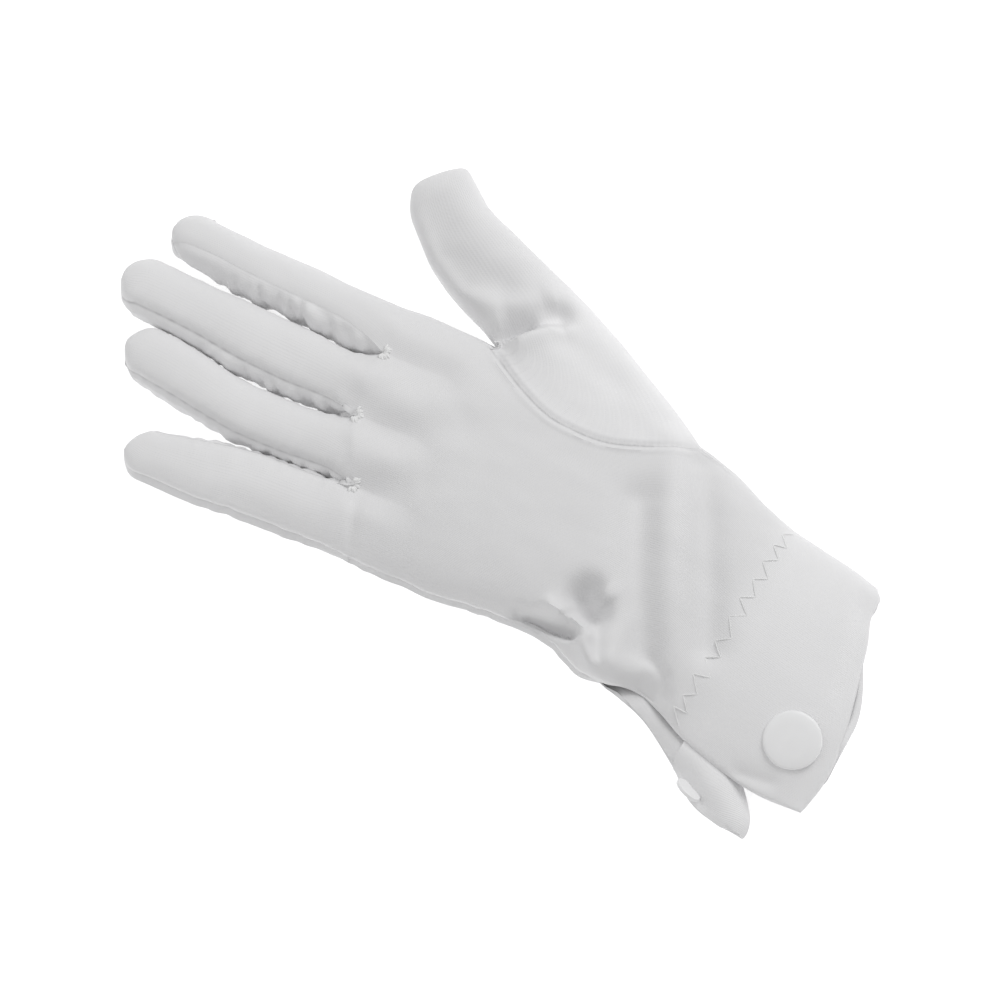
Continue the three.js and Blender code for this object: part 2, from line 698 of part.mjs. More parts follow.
function buildThumb(skin) {
  const columns = HOLE_END_ROW - HOLE_START_ROW + 2;
  const steps = THUMB_STEPS.length;
  skin.patch('thumb', steps, columns, (step, column) => (
    thumbPoint(step, 1 - column / columns, true, holeRim(columns - column, true))));
  skin.patch('thumb', steps, columns, (step, column) => (
    thumbPoint(step, column / columns, false, holeRim(column, false))));
}

const cloth = new THREE.MeshStandardMaterial({ color: 0xf2f3f6, roughness: 0.82, metalness: 0 });
const facingCloth = new THREE.MeshStandardMaterial({ color: 0xe9ebef, roughness: 0.85, metalness: 0 });
const snapPlastic = new THREE.MeshStandardMaterial({ color: 0xf4f5f7, roughness: 0.45, metalness: 0 });

const glove = new THREE.Group();

function addMesh(name, geometry, material) {
  const mesh = new THREE.Mesh(geometry, material);
  mesh.name = name;
  glove.add(mesh);
  return mesh;
}

const skin = new Skin();
buildTrunk(skin);
FINGER_TABLES.forEach((finger, number) => buildFinger(skin, finger, number));
buildThumb(skin);
const outward = skin.outward();

function toSolid(geometry) {
  const bare = new THREE.BufferGeometry();
  bare.setAttribute('position', geometry.getAttribute('position'));
  bare.setIndex(geometry.getIndex());
  const merged = mergeVertices(bare);
  return new wasm.Manifold(new wasm.Mesh({
    numProp: 3,
    vertProperties: merged.getAttribute('position').array,
    triVerts: new Uint32Array(merged.getIndex().array),
  }));
}

function toGeometry(solid) {
  const { vertProperties, triVerts } = solid.getMesh();
  const geometry = new THREE.BufferGeometry();
  geometry.setAttribute('position', new THREE.Float32BufferAttribute(vertProperties, 3));
  geometry.setIndex(Array.from(triVerts));
  geometry.computeVertexNormals();
  return geometry;
}

// A piece of the skin, cut back where it would run closer than TRIM_GAP to its neighbours
function sewnPiece(faces, neighbours) {
  const geometry = clothGeometry(skin, outward, faces, 0, WALL);
  let solid = toSolid(geometry);
  let isCut = false;
  for (const neighbour of neighbours) {
    const setback = SEAM_GAP / 2 - TRIM_GAP;
    const grown = clothGeometry(skin, outward, neighbour, -TRIM_GAP, WALL + 2 * TRIM_GAP, setback);
    const plain = toSolid(clothGeometry(skin, outward, neighbour, 0, WALL));
    if (solid.intersect(plain).volume() > 0) {
      solid = solid.subtract(toSolid(grown).add(plain));
      isCut = true;
    }
  }
  if (!isCut) {
    return geometry;
  }
  const bodies = solid.decompose().sort((a, b) => b.volume() - a.volume());
  return toGeometry(bodies[0]);
}

const palmFaces = [...skin.pieces.get('palm'), ...skin.pieces.get('palm_cuff')];
const backFaces = [...skin.pieces.get('back'), ...skin.pieces.get('back_cuff')];
addMesh('palm_panel', sewnPiece(palmFaces, []), cloth);
addMesh('back_panel', sewnPiece(backFaces, [palmFaces]), cloth);
addMesh('thumb_stall', sewnPiece(skin.pieces.get('thumb'), [palmFaces, backFaces]), cloth);
FINGER_TABLES.slice(1).forEach((finger, number) => {
  const name = `fourchette_${FINGER_TABLES[number].name}_${finger.name}`;
  addMesh(name, sewnPiece(skin.pieces.get(`fork_${number}`), [palmFaces, backFaces]), cloth);
});
const facingStart = WALL + SEAM_GAP;
for (const [name, piece] of [['palm_facing', 'palm_cuff'], ['back_facing', 'back_cuff']]) {
  const faces = skin.pieces.get(piece);
  addMesh(name, clothGeometry(skin, outward, faces, facingStart, FACING_WALL), facingCloth);
}

// A fastener half turned from its profile of radius and height pairs, set flat on the cloth
function snapPiece(name, profile, { place, normal }) {
  const points = profile.map(([radius, height]) => new THREE.Vector2(radius, height));
  const mesh = addMesh(name, new THREE.LatheGeometry(points, SNAP_SIDES), snapPlastic);
  mesh.position.copy(place);
  mesh.quaternion.setFromUnitVectors(new THREE.Vector3(0, 1, 0), normal);
}

// Where a disc of a given radius clears the cloth around a place of the skin
function seat({ column, row }, upper, depth, side, radius) {
  const middle = new THREE.Vector3(...trunkPoint(column, row, upper));
  const ahead = new THREE.Vector3(...trunkPoint(column, row + 1, upper)).sub(middle);
  const across = new THREE.Vector3(...trunkPoint(column + 0.25, row, upper)).sub(middle);
  const normal = ahead.cross(across).normalize();
  if (normal.z < 0) {
    normal.negate();
  }
  const reach = radius + PITCH / COLUMNS_PER_FINGER;
  let highest = 0;
  for (const point of skin.points) {
    const offset = point.clone().sub(middle);
    const height = offset.dot(normal) * side;
    const beside = Math.sqrt(Math.max(0, offset.lengthSq() - height * height));
    if (beside < reach && Math.abs(height) < WALL * 2) {
      highest = Math.max(highest, height);
    }
  }
  const place = middle.addScaledVector(normal, side * (highest + SEAM_GAP) - depth);
  return { place, normal: normal.multiplyScalar(side) };
}

const capProfile = [
  [0, 0],
  [SNAP_CAP_RADIUS * 0.92, 0],
  [SNAP_CAP_RADIUS, SNAP_CAP_HEIGHT * 0.3],
  [SNAP_CAP_RADIUS * 0.93, SNAP_CAP_HEIGHT * 0.68],
  [SNAP_CAP_RADIUS * 0.7, SNAP_CAP_HEIGHT * 0.92],
  [0, SNAP_CAP_HEIGHT],
];
snapPiece('snap_cap', capProfile, seat(CAP_PLACE, true, 0, 1, SNAP_CAP_RADIUS));

const cuffWall = WALL + SEAM_GAP + FACING_WALL;
const socketFloor = SNAP_SOCKET_HEIGHT * 0.4;
const socketProfile = [
  [0, 0],
  [SNAP_SOCKET_RADIUS, 0],
  [SNAP_SOCKET_RADIUS, SNAP_SOCKET_HEIGHT],
  [SNAP_NUB_RADIUS + SEAM_GAP, SNAP_SOCKET_HEIGHT],
  [SNAP_NUB_RADIUS + SEAM_GAP, socketFloor],
  [0, socketFloor],
];
snapPiece('snap_socket', socketProfile, seat(CAP_PLACE, true, cuffWall, -1, SNAP_SOCKET_RADIUS));

const studProfile = [
  [0, 0],
  [SNAP_STUD_RADIUS, 0],
  [SNAP_STUD_RADIUS, SNAP_STUD_HEIGHT],
  [SNAP_NUB_RADIUS, SNAP_STUD_HEIGHT],
  [SNAP_NUB_RADIUS, SNAP_STUD_HEIGHT + SNAP_NUB_HEIGHT],
  [0, SNAP_STUD_HEIGHT + SNAP_NUB_HEIGHT],
];
snapPiece('snap_stud', studProfile, seat(STUD_PLACE, false, -cuffWall, 1, SNAP_STUD_RADIUS));

export default glove;
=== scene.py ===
"""White parade glove for the right hand, lying palm up: cloth, seams, stitches, snap and stage.

Metres. +Y points to the fingertips, +X to the thumb side, +Z up out of the palm.
"""

import json
import math
from functools import lru_cache

import bmesh
import bpy
import numpy as np
from mathutils import Matrix, Vector, kdtree, noise
from mathutils.bvhtree import BVHTree

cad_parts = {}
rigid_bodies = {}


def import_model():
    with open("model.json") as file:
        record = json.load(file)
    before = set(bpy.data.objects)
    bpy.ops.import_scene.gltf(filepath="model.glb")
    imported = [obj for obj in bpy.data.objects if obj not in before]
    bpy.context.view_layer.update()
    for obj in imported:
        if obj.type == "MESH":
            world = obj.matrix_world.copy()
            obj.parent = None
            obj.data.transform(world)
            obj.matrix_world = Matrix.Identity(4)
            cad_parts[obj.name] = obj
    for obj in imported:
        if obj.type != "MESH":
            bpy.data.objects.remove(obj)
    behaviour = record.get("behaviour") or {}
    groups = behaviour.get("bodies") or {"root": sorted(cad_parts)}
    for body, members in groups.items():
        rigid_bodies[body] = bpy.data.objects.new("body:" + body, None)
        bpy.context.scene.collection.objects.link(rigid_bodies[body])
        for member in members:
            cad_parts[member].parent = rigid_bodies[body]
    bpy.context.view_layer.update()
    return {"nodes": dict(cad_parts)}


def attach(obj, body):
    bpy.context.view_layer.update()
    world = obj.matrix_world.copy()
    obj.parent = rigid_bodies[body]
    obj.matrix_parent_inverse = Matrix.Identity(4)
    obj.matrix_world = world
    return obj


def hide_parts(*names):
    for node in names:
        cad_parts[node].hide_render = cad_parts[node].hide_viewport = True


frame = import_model()

bl_info = {
    "name": "White Parade Glove",
    "version": (1, 0, 0),
    "blender": (4, 5, 0),
    "location": "View3D > Sidebar > Glove",
    "description": "Builds a white cloth dress glove lying palm up",
    "category": "Object",
}

BODY = "root"

# Sizes of the glove in its lightly filled form, most of them the same as the solids have
PALM_WIDTH = 0.080
ROOT_REACH = 0.050
CUFF_REACH = 0.110
THUMB_LENGTH = 0.080
PALM_HEIGHT = 0.018
FINGER_HEIGHT = 0.013
THUMB_HEIGHT = 0.017
SIDE_HEIGHT = 0.0055
TOP_ROUNDNESS = 2.35
UNDER_ROUNDNESS = 2.7
PALM_ROUNDNESS = 2.6
REST_PRESS = 1.2
TIP_BLUNTNESS = 2.5
THUMB_BLUNTNESS = 7.0
THUMB_HEIGHT_BLUNTNESS = 4.0
THUMB_TIP_START = 0.9
LONGEST_TIP = 0.3
BACK_FLAT = 0.8
FINGER_LIFT = 0.95
FINGER_BLEND = 0.24
THUMB_BLEND = 0.5
THUMB_EASE = 1.7
THUMB_INSET = 0.0182
THUMB_INSET_BACK = 0.011
FLAP_EDGE_HEIGHT = 0.0068
TONGUE_CURL = 0.0016
ROOT_START = 0.72
DIP_START = 0.86
ROOT_DIP = 0.34
SHUT_START = 0.8
SHUT_END = 1.5
SHUT_SHARE = 0.4
CROTCH_SAG = 0.0006
CUFF_BOW = 0.038
BOW_SKEW = 2
CUFF_BLEND = 0.3
HEM_RADIUS = 0.0013
CUFF_NOTCH = {"depth": 0.013, "at": 0.13, "width": 0.08}
BACK_NOTCH = {"depth": 0.012, "at": 0.18, "width": 0.07}
BACK_CUFF = {"depth": 0.1, "start": 0.1, "full": 0.5, "ease": 0.68, "end": 0.8}
TONGUE_NOTCH = {"depth": 0.112, "start": 0.72, "full": 0.825, "bulge": 0.75, "rounding": 0.02}

# The layers are read on rows from the cuff (0) to the finger roots and on columns from the
# fold on the thumb side (0) to the little side; the thumb hole and the vent lie between rows
ROWS = 24
FINGERS = 4
FACING_ROW = 6
VENT_ROW = 12
VENT_OPENING_ROWS = 2.5
FOLDED_ROWS = (12, 17)
HOLE_START_ROW = 13
HOLE_END_ROW = 22
HOLE_EDGE = 0.12
HOLE_FULLNESS = 0.9

HALF_WIDTH = PALM_WIDTH / 2
PITCH = PALM_WIDTH / FINGERS
LAYER_LENGTH = CUFF_REACH + ROOT_REACH
FULL_TURN = 360

# Crowding of the columns towards the sides of a layer and of the thumb at its root, the stretch
# over which the thumb's section gets round, and how the dips between the finger roots fade
LAYER_CROWDING = 0.3
THUMB_CROWDING = -0.4
THUMB_ROUNDED = (0.2, 0.7)
DIP_EASE = 0.35

# Stations from the cuff (0) to the finger roots (1). x is a share of HALF_WIDTH; y is a share
# of ROOT_REACH if positive, else of CUFF_REACH; crown is a share of PALM_HEIGHT.
STATION_COLUMNS = ("at", "fold_x", "fold_y", "side_x", "side_y", "tongue_x", "tongue_y", "crown")
STATIONS = (
    (0.0, 0.41, -0.985, -1.345, -1.05, -1.69, -0.968, 0.72),
    (0.07, 0.45, -0.9, -1.375, -0.935, -1.68, -0.885, 0.75),
    (0.16, 0.482, -0.79, -1.335, -0.81, -1.62, -0.79, 0.79),
    (0.25, 0.515, -0.69, -1.257, -0.69, -1.45, -0.7, 0.82),
    (0.33, 0.585, -0.6, -1.155, -0.6, -1.29, -0.6, 0.84),
    (0.42, 0.68, -0.51, -1.105, -0.523, -1.215, -0.527, 0.87),
    (0.5, 0.75, -0.42, -1.165, -0.43, -1.165, -0.43, 0.92),
    (0.542, 0.77, -0.37, -1.17, -0.37, -1.17, -0.37, 0.95),
    (0.62, 0.83, -0.235, -1.06, -0.25, -1.06, -0.25, 0.98),
    (0.71, 0.86, -0.08, -1.075, -0.11, -1.075, -0.11, 1.0),
    (0.8, 0.85, 0.16, -1.145, 0.1, -1.145, 0.1, 1.0),
    (0.917, 0.765, 0.55, -1.18, 0.4, -1.18, 0.4, 0.95),
    (1.0, 0.74, 0.96, -1.2, 0.68, -1.2, 0.68, 0.86),
)

# Ends of the finger roots, in the same shares
ROOTS = ((0.74, 0.96), (0.28, 1.1), (-0.24, 1.06), (-0.722, 0.87), (-1.2, 0.68))

# Fingers: length, place of the tip, angles of the seams from the thumb side over the top, and
# sections (share of the length, centre as a share of HALF_WIDTH, half width as a share of
# PITCH, crown as a share of FINGER_HEIGHT)
FINGER_TABLES = (
    {
        "name": "index", "length": 0.0792, "tip": 0.43,
        "seams": {"palm_thumb": 0, "palm_little": 112, "back_little": 205, "back_thumb": 360},
        "sections": (
            (0.0, 0.475, 0.48, 1.0), (0.1, 0.475, 0.46, 1.0), (0.3, 0.468, 0.43, 1.0),
            (0.5, 0.46, 0.415, 0.98), (0.65, 0.455, 0.4, 0.95), (0.8, 0.462, 0.38, 0.92),
            (1.0, 0.46, 0.33, 0.84),
        ),
    },
    {
        "name": "middle", "length": 0.0826, "tip": -0.03,
        "seams": {"palm_thumb": -16, "palm_little": 138, "back_little": 208, "back_thumb": 316},
        "sections": (
            (0.0, -0.02, 0.5, 1.04), (0.1, -0.03, 0.47, 1.04), (0.3, -0.046, 0.53, 1.04),
            (0.5, -0.052, 0.51, 1.0), (0.65, -0.048, 0.47, 0.97), (0.8, -0.045, 0.455, 0.94),
            (1.0, -0.04, 0.425, 0.88),
        ),
    },
    {
        "name": "ring", "length": 0.0766, "tip": -0.49,
        "seams": {"palm_thumb": -8, "palm_little": 150, "back_little": 212, "back_thumb": 318},
        "sections": (
            (0.0, -0.495, 0.46, 0.98), (0.1, -0.505, 0.405, 0.98), (0.3, -0.548, 0.42, 0.98),
            (0.5, -0.57, 0.43, 0.95), (0.65, -0.548, 0.44, 0.93), (0.8, -0.52, 0.435, 0.9),
            (1.0, -0.5, 0.395, 0.84),
        ),
    },
    {
        "name": "little", "length": 0.070, "tip": -1.25,
        "seams": {"palm_thumb": 25, "palm_little": 178, "back_little": 178, "back_thumb": 328},
        "sections": (
            (0.0, -0.96, 0.49, 0.94), (0.1, -0.965, 0.475, 0.94), (0.3, -1.0, 0.475, 0.92),
            (0.5, -1.04, 0.475, 0.88), (0.65, -1.095, 0.45, 0.86), (0.8, -1.145, 0.39, 0.84),
            (1.0, -1.21, 0.335, 0.8),
        ),
    },
)

# Sections along the thumb: share of the way, the two ends of its widest line as shares of
# THUMB_LENGTH from the middle of the thumb hole, crown as a share of THUMB_HEIGHT
THUMB_HEART = (0.82, -0.09)
THUMB_TIP = (0.487, 0.982)
THUMB_SECTIONS = (
    (0.0, -0.027, 0.468, -0.03, -0.38, 1.0),
    (0.15, -0.02, 0.493, 0.05, -0.25, 1.02),
    (0.3, -0.008, 0.52, 0.15, -0.04, 1.02),
    (0.45, 0.01, 0.56, 0.245, 0.175, 1.0),
    (0.6, 0.03, 0.61, 0.318, 0.385, 0.97),
    (0.75, 0.085, 0.735, 0.39, 0.59, 0.93),
    (0.88, 0.165, 0.865, 0.445, 0.745, 0.87),
    (0.95, 0.275, 0.99, 0.514, 0.845, 0.8),
    (1.0, 0.39, 1.064, 0.566, 0.9, 0.66),
)

# Folds on the upper side, along a path in the shares of the stations. The widths to the left and
# right of the path and the depth are shares of PALM_HEIGHT, and a ridge has a negative depth.
FOLDS = (
    ("wrist valley", ((0.12, -0.3), (-0.29, -0.37), (-1.15, -0.545)), 0.3, 0.34, 0.2),
    ("wrist ridge", ((0.66, -0.3), (-0.17, -0.445), (-1.05, -0.61)), 0.25, 0.25, -0.08),
    ("cuff valley", ((0.6, -0.4), (-0.05, -0.535), (-0.6, -0.64)), 0.3, 0.3, 0.18),
    ("tuck", ((-1.03, -0.16), (-0.99, -0.24), (-0.97, -0.31)), 0.12, 0.13, 0.26),
    ("dent", ((-0.71, -0.3), (-0.77, -0.335)), 0.2, 0.34, 0.5),
    ("bulge", ((-1.08, -0.43), (-0.96, -0.53)), 0.24, 0.2, -0.19),
    ("middle valley", ((-0.46, 1.02), (0.0, 0.46)), 0.3, 0.3, 0.06),
    ("index valley", ((-0.14, 1.1), (0.3, 0.72)), 0.28, 0.28, 0.05),
    ("ring valley", ((-0.74, 0.8), (-0.5, 0.5)), 0.28, 0.28, 0.06),
    ("thumb crease", ((0.81, 0.525), (0.87, 0.485), (0.97, 0.41), (1.12, 0.28)), 0.34, 0.11, 0.3),
    ("thumb lip", ((0.74, 0.45), (0.9, 0.34), (1.04, 0.2)), 0.14, 0.2, -0.07),
    ("thumb valley", ((0.98, 0.2), (0.84, -0.1)), 0.25, 0.25, 0.06),
    ("thumb shade", ((1.42, 1.25), (1.2, 1.08), (1.08, 0.86), (1.11, 0.68)), 0.4, 0.28, 0.17),
    ("thumb ridge", ((0.93, 0.9), (0.98, 0.7), (1.06, 0.48)), 0.2, 0.2, -0.06),
)

# Finer and sharper folds that only the cloth shows, in the same columns
CREASES = (
    ("thumb pinch", ((0.81, 0.52), (0.88, 0.475), (0.97, 0.41)), 0.13, 0.08, 0.22),
    ("tuck line", ((-1.01, -0.19), (-1.0, -0.25), (-0.98, -0.315)), 0.08, 0.08, 0.2),
    ("tuck lip", ((-0.88, -0.22), (-0.89, -0.3), (-0.94, -0.35)), 0.11, 0.11, -0.14),
    ("upper lobe", ((-1.0, -0.335), (-1.12, -0.39)), 0.13, 0.13, -0.17),
    ("lobe crease", ((-0.9, -0.372), (-1.04, -0.4), (-1.12, -0.43)), 0.13, 0.13, 0.1),
    ("flap crease", ((-0.87, -0.527), (-0.94, -0.575), (-1.06, -0.6)), 0.1, 0.12, 0.1),
    ("flap dip", ((-1.3, -0.862), (-1.26, -0.944)), 0.12, 0.12, 0.06),
    ("little base", ((-0.84, 0.8), (-1.14, 0.7)), 0.1, 0.1, 0.05),
)

# How the folds reach the points: a high power gives round folds, and only cloth that faces up
# follows them. Towards the ends of a path both sides of its fold become alike. The tongue's
# crest lifts only cloth whose normal rises less than the underside's.
FOLD_POWER = 2.0
CREASE_POWER = 1.6
FACING_POWER = 0.7
FOLD_END = 0.2
UNDERSIDE_RISE = 0.2

# The crest of the tongue, in the same shares, and its heights above the back layer
TONGUE_CREST = ((-1.14, -0.5), (-1.17, -0.57), (-1.27, -0.66), (-1.39, -0.784), (-1.62, -0.914))
CREST_HEIGHTS = (0.0028, 0.0034, 0.0037, 0.0042, 0.0022)
CREST_WIDTHS = (0.0075, 0.0036)
CREST_START = -0.050
CREST_FADE = 0.010
CREST_END = 0.3
BACK_RIM = {"rows": 1.6, "height": 0.0066, "start": 0.02, "full": 0.2, "ease": 0.55, "end": 0.72}
PALM_RIM = {"rows": 1.5, "height": 0.0030}
CORNER = {"depth": 0.022, "at": 0.0, "width": 0.03}

# Closeness of the lines on which the skin is read, with extra ones beside seams and folds
COLUMNS_PER_FINGER = 18
LINES_PER_ROW = 6
FOLDED_DENSITY = 1.6
FINGER_STEPS = 74
FINGER_TIP_STEPS = 20
THUMB_STEPS = 112
THUMB_TIP_STEPS = 24
STRIP_COLUMNS = 13
BESIDE_SEAM = (0.018, 0.04)
BESIDE_STRIP = (0.035,)
BESIDE_HOLE = (0.0, 0.02, 0.045)
HEM_ROWS = (0.03, 0.08, 0.14)
SEAM_SAMPLES = {"thumb": 120, "side": 160, "finger": 180}

# Kinds of seam: round the thumb, along the little side, and the upper and lower seams of the
# strips; the index finger's upper one, the crown, hardly shows. The shares are of the seam depth.
SEAM_SHARES = {"thumb": 0.8, "side": 1.4, "strip": 0.4, "crown": 0.12, "under": 1.0}

# The lip beside a groove: height as a share of the groove's depth, place and half width in seam
# widths. Round the thumb it is low on the thumb and high on the palm.
LIP = {"height": 0.45, "at": 2.4, "width": 1.3}
THUMB_LIP = {"thumb": 0.15, "palm": 0.8, "at": 1.5, "width": 0.6}
RIM_AT = 1.5

# Waves of the cloth along the seams: kind of seam, pitch, height and reach
PUCKERS = (
    ("thumb", 0.0060, 0.00012, 0.0040),
    ("side", 0.0090, 0.00030, 0.0050),
    ("strip", 0.0058, 0.00042, 0.0030),
    ("under", 0.0062, 0.00045, 0.0035),
)
PUCKER_START = 0.0009
THUMB_SEAM_FADE = 0.016
# Distance by which the line of painted shade is moved off a seam that hardly shows
LINE_HIDDEN = 0.003

# Gathers of the strips: slant, heights as shares of the strip ripple, and the sizes of their
# noise along X, Y and Z; they grow from the seams inwards and from the tips backwards
GATHERS = {"slant": 0.55, "lump": 1.4, "valley": 0.75, "small": 0.4, "fullness": 0.3}
LUMP_NOISE = (0.016, 0.0052, 0.02)
LUMP_WIDTH = 0.45
LUMP_POWER = 0.8
LUMP_SIZE = 0.85
LUMP_SIZE_SPREAD = 0.8
LUMP_SIZE_NOISE = (0.012, 0.009, 0.012)
SMALL_LUMP_NOISE = (0.004, 0.0022, 0.004)
GATHER_EDGE = 0.0016
GATHER_EASE = {"start": 0.012, "reach": 0.018, "least": 0.12}

# Soft unevenness of all cloth, calmer on the doubled cuff
COARSE_NOISE = (0.011, 0.016, 0.012)
FINE_NOISE = (0.005, 0.007, 0.005)
FINE_NOISE_SHARE = 0.45
CALM_CUFF = {"least": 0.35, "end": -0.075, "reach": 0.02}

# Near tips, seam ends and corners the displacements and the wall fade out over these lengths
QUIET_REACH = 0.0045
WALL_TAPER = 0.006
THIN_SHARE = 0.1

# Clearance over the surface and between the edges of two pieces of cloth
REST_CLEARANCE = 0.0002
SET_BACK = 0.00002
CLOTH_SMOOTH_ANGLE = math.radians(55)

# Stitches: from how high they are dropped onto the cloth, how round they arch and how far their
# ends sink in, the zigzag row's place on the rows and columns, and the fans between the fingers,
# with their angles in degrees, their unevenness and the start and thickness of a stitch
DROP_HEIGHT = 0.1
STITCH_ROUNDNESS = 0.6
STITCH_SINK = 0.5
ZIGZAG = {"row": 6.3, "first": 0.16, "last": FINGERS - 0.1, "low": -0.3, "high": 0.5, "uneven": 0.22}
CROTCH_FAN = {"stitches": 13, "shift": 0.0004, "first": 185, "last": 355, "inner": 0.3, "thick": 2.1}
FAN_UNEVENNESS = {"place": 0.3, "inner": 0.1, "outer": 0.25, "turn": 0.1}

# Parts of the snap: radius and height as shares of the solid's, and the insets of the top from
# the rim inwards, each with its width and rise
SNAP_PARTS = (
    {
        "node": "snap_cap", "name": "snap_cap_dome", "radius": 1.0, "height": 0.5, "rounding": 0.0008,
        "rings": ((0.0009, 0.0003), (0.0013, 0.00025), (0.0016, 0.00015), (0.0018, 0.00008), (0.0014, 0.0)),
        "down": False, "lean": 0.0, "shift": (0.0, 0.0, 0.0),
    },
    {
        "node": "snap_socket", "name": "snap_socket_dish", "radius": 1.0, "height": 1.0, "rounding": 0.0003,
        "rings": ((0.0010, 0.0), (0.0005, -0.0004), (0.0016, 0.0)),
        "down": True, "lean": 0.0, "shift": (0.0, 0.0, 0.0),
    },
    {
        "node": "snap_stud", "name": "snap_stud_post", "radius": 0.84, "height": 0.5, "rounding": 0.0003,
        "rings": ((0.0012, 0.0), (0.0004, -0.0002), (0.0010, 0.0), (0.0004, 0.0010), (0.0006, 0.0002)),
        "down": False, "lean": math.radians(140), "shift": (-0.0022, 0.0046, 0.0004),
    },
)
TONGUE_WAY = Vector((0.39, 0.92, 0.0))
SNAP_SIDES = 64
SNAP_TOP_RISE = 0.9
SNAP_BEVEL_SEGMENTS = 4
SNAP_SMOOTH_ANGLE = math.radians(40)

# Finishes: constants on the shader, and scales of the procedural patterns
CLOTH_SHADER = {"Roughness": 0.85, "Sheen Weight": 0.25, "Sheen Roughness": 0.45, "Specular IOR Level": 0.25}
THREAD_SHADER = {"Roughness": 0.55, "Sheen Weight": 0.2}
SNAP_SHADER = {"Roughness": 0.42}
FLOOR_SHADER = {"Roughness": 0.9, "Specular IOR Level": 0.0, "Emission Color": (1, 1, 1, 1),
                "Emission Strength": 0.5}
FLOOR_COLOR = (0.93, 0.93, 0.93)
TONE_SCALE = 38.0
FUZZ_SCALE = 900.0
TWIST_SCALE = 1400.0
CLOUD_SCALE = 240.0

# Knit: courses as a share of the wales, the weights of wales and loops in its height, and how
# strongly knit and seams darken the cloth with painted shade and raise it
COURSE_SHARE = 0.8
WALE_WOBBLE = 0.7
WALE_WEIGHT = 0.6
LOOP_WEIGHT = 0.4
KNIT_SHADE = 0.03
SEAM_SHADE = 0.6
SEAM_PULL = 1.6
SEAM_PULL_FALL = -700.0
CLOTH_RELIEF_STRENGTH = 0.55
THREAD_RELIEF = 0.0001
THREAD_RELIEF_STRENGTH = 0.5
SNAP_RELIEF = 0.00004
SNAP_ROUGHNESS = (0.36, 0.14)

# Tones as shares of a finish's colour: the darker ends of the cloth's and the snap's uneven tone, the tone
# of the painted shade along the seams and between the loops, and the painted shade in the thread's twist
DULL_CLOTH = 0.94
SHADED_CLOTH = 0.62
THREAD_GROOVE_SHADE = 0.9
DULL_SNAP = 0.95
THUMB_RIB_TURN = math.radians(6)

# Painted shade over the cloth at heights on its cut: full tone on the doubled cuff, darker over the single
# cloth of the palm, standing for the shade of the hollow behind it, and lighter again at the fingers. The
# heights are in quarters of a metre.
HOLLOW_SHADE_SHARES = ((0.0, 1.0), (0.14, 1.0), (0.2, 0.1), (0.58, 0.0), (0.78, 0.7))
HOLLOW_SHADE_SCALE = 4.0

# Stage: the floor, the camera's film and the places of the lights round the glove
FLOOR_SIZE = 4.0
FILM_WIDTH = 36.0
CLIP_START = 0.05
KEY_LIGHT = {"away": 0.9, "height": 0.9, "size": 0.7}
FILL_LIGHT = {"aside": 0.75, "behind": 0.2, "height": 1.15, "size": 1.2}


def clamp(value, low, high):
    return min(high, max(low, value))


def mix(a, b, share):
    return a + (b - a) * share


def smooth(low, high, value):
    share = clamp((value - low) / (high - low), 0.0, 1.0)
    return share * share * (3 - 2 * share)


def signed_power(value, power):
    return math.copysign(abs(value) ** power, value)


def read(table, at, column):
    """Smooth reading of one column of a table whose first column is the share of the way."""
    last = len(table) - 1
    low = 0
    while low < last - 1 and table[low + 1][0] < at:
        low += 1
    step = table[low + 1][0] - table[low][0]
    share = clamp((at - table[low][0]) / step, 0.0, 1.0)

    def slope(i):
        a, b = max(0, i - 1), min(last, i + 1)
        return (table[b][column] - table[a][column]) / (table[b][0] - table[a][0])

    s2, s3 = share * share, share ** 3
    start, end = table[low][column], table[low + 1][column]
    return ((2 * s3 - 3 * s2 + 1) * start + (s3 - 2 * s2 + share) * step * slope(low)
            + (3 * s2 - 2 * s3) * end + (s3 - s2) * step * slope(low + 1))


def place_x(share):
    return share * HALF_WIDTH


def place_y(share):
    return share * (CUFF_REACH if share < 0 else ROOT_REACH)


def hole_share(row):
    """Share of the way round the thumb hole, 0 outside it."""
    share = (row - HOLE_START_ROW) / (HOLE_END_ROW - HOLE_START_ROW)
    return 0.0 if share <= 0 or share >= 1 else math.sin(math.pi * share) ** HOLE_FULLNESS


def across_share(column, crowding=LAYER_CROWDING):
    """Share of the width at a column, with the columns crowded towards both sides."""
    even = column / FINGERS
    return mix(even, (1 - math.cos(math.pi * even)) / 2, crowding)


@lru_cache(maxsize=None)
def root_point(column):
    low = min(FINGERS - 1, int(column))
    table = [(i, x, y) for i, (x, y) in enumerate(ROOTS)]
    return place_x(mix(ROOTS[low][0], ROOTS[low + 1][0], column - low)), place_y(read(table, column, 2))


@lru_cache(maxsize=None)
def station(row, upper):
    """What a row of the layer needs: its two ends and its crown."""
    at = row / ROWS
    values = {name: read(STATIONS, at, i) for i, name in enumerate(STATION_COLUMNS) if i}
    side = "side" if upper or row >= VENT_ROW else "tongue"
    fold = place_x(values["fold_x"]), place_y(values["fold_y"])
    end = place_x(values[side + "_x"]), place_y(values[side + "_y"])
    return fold, end, values["crown"] * PALM_HEIGHT


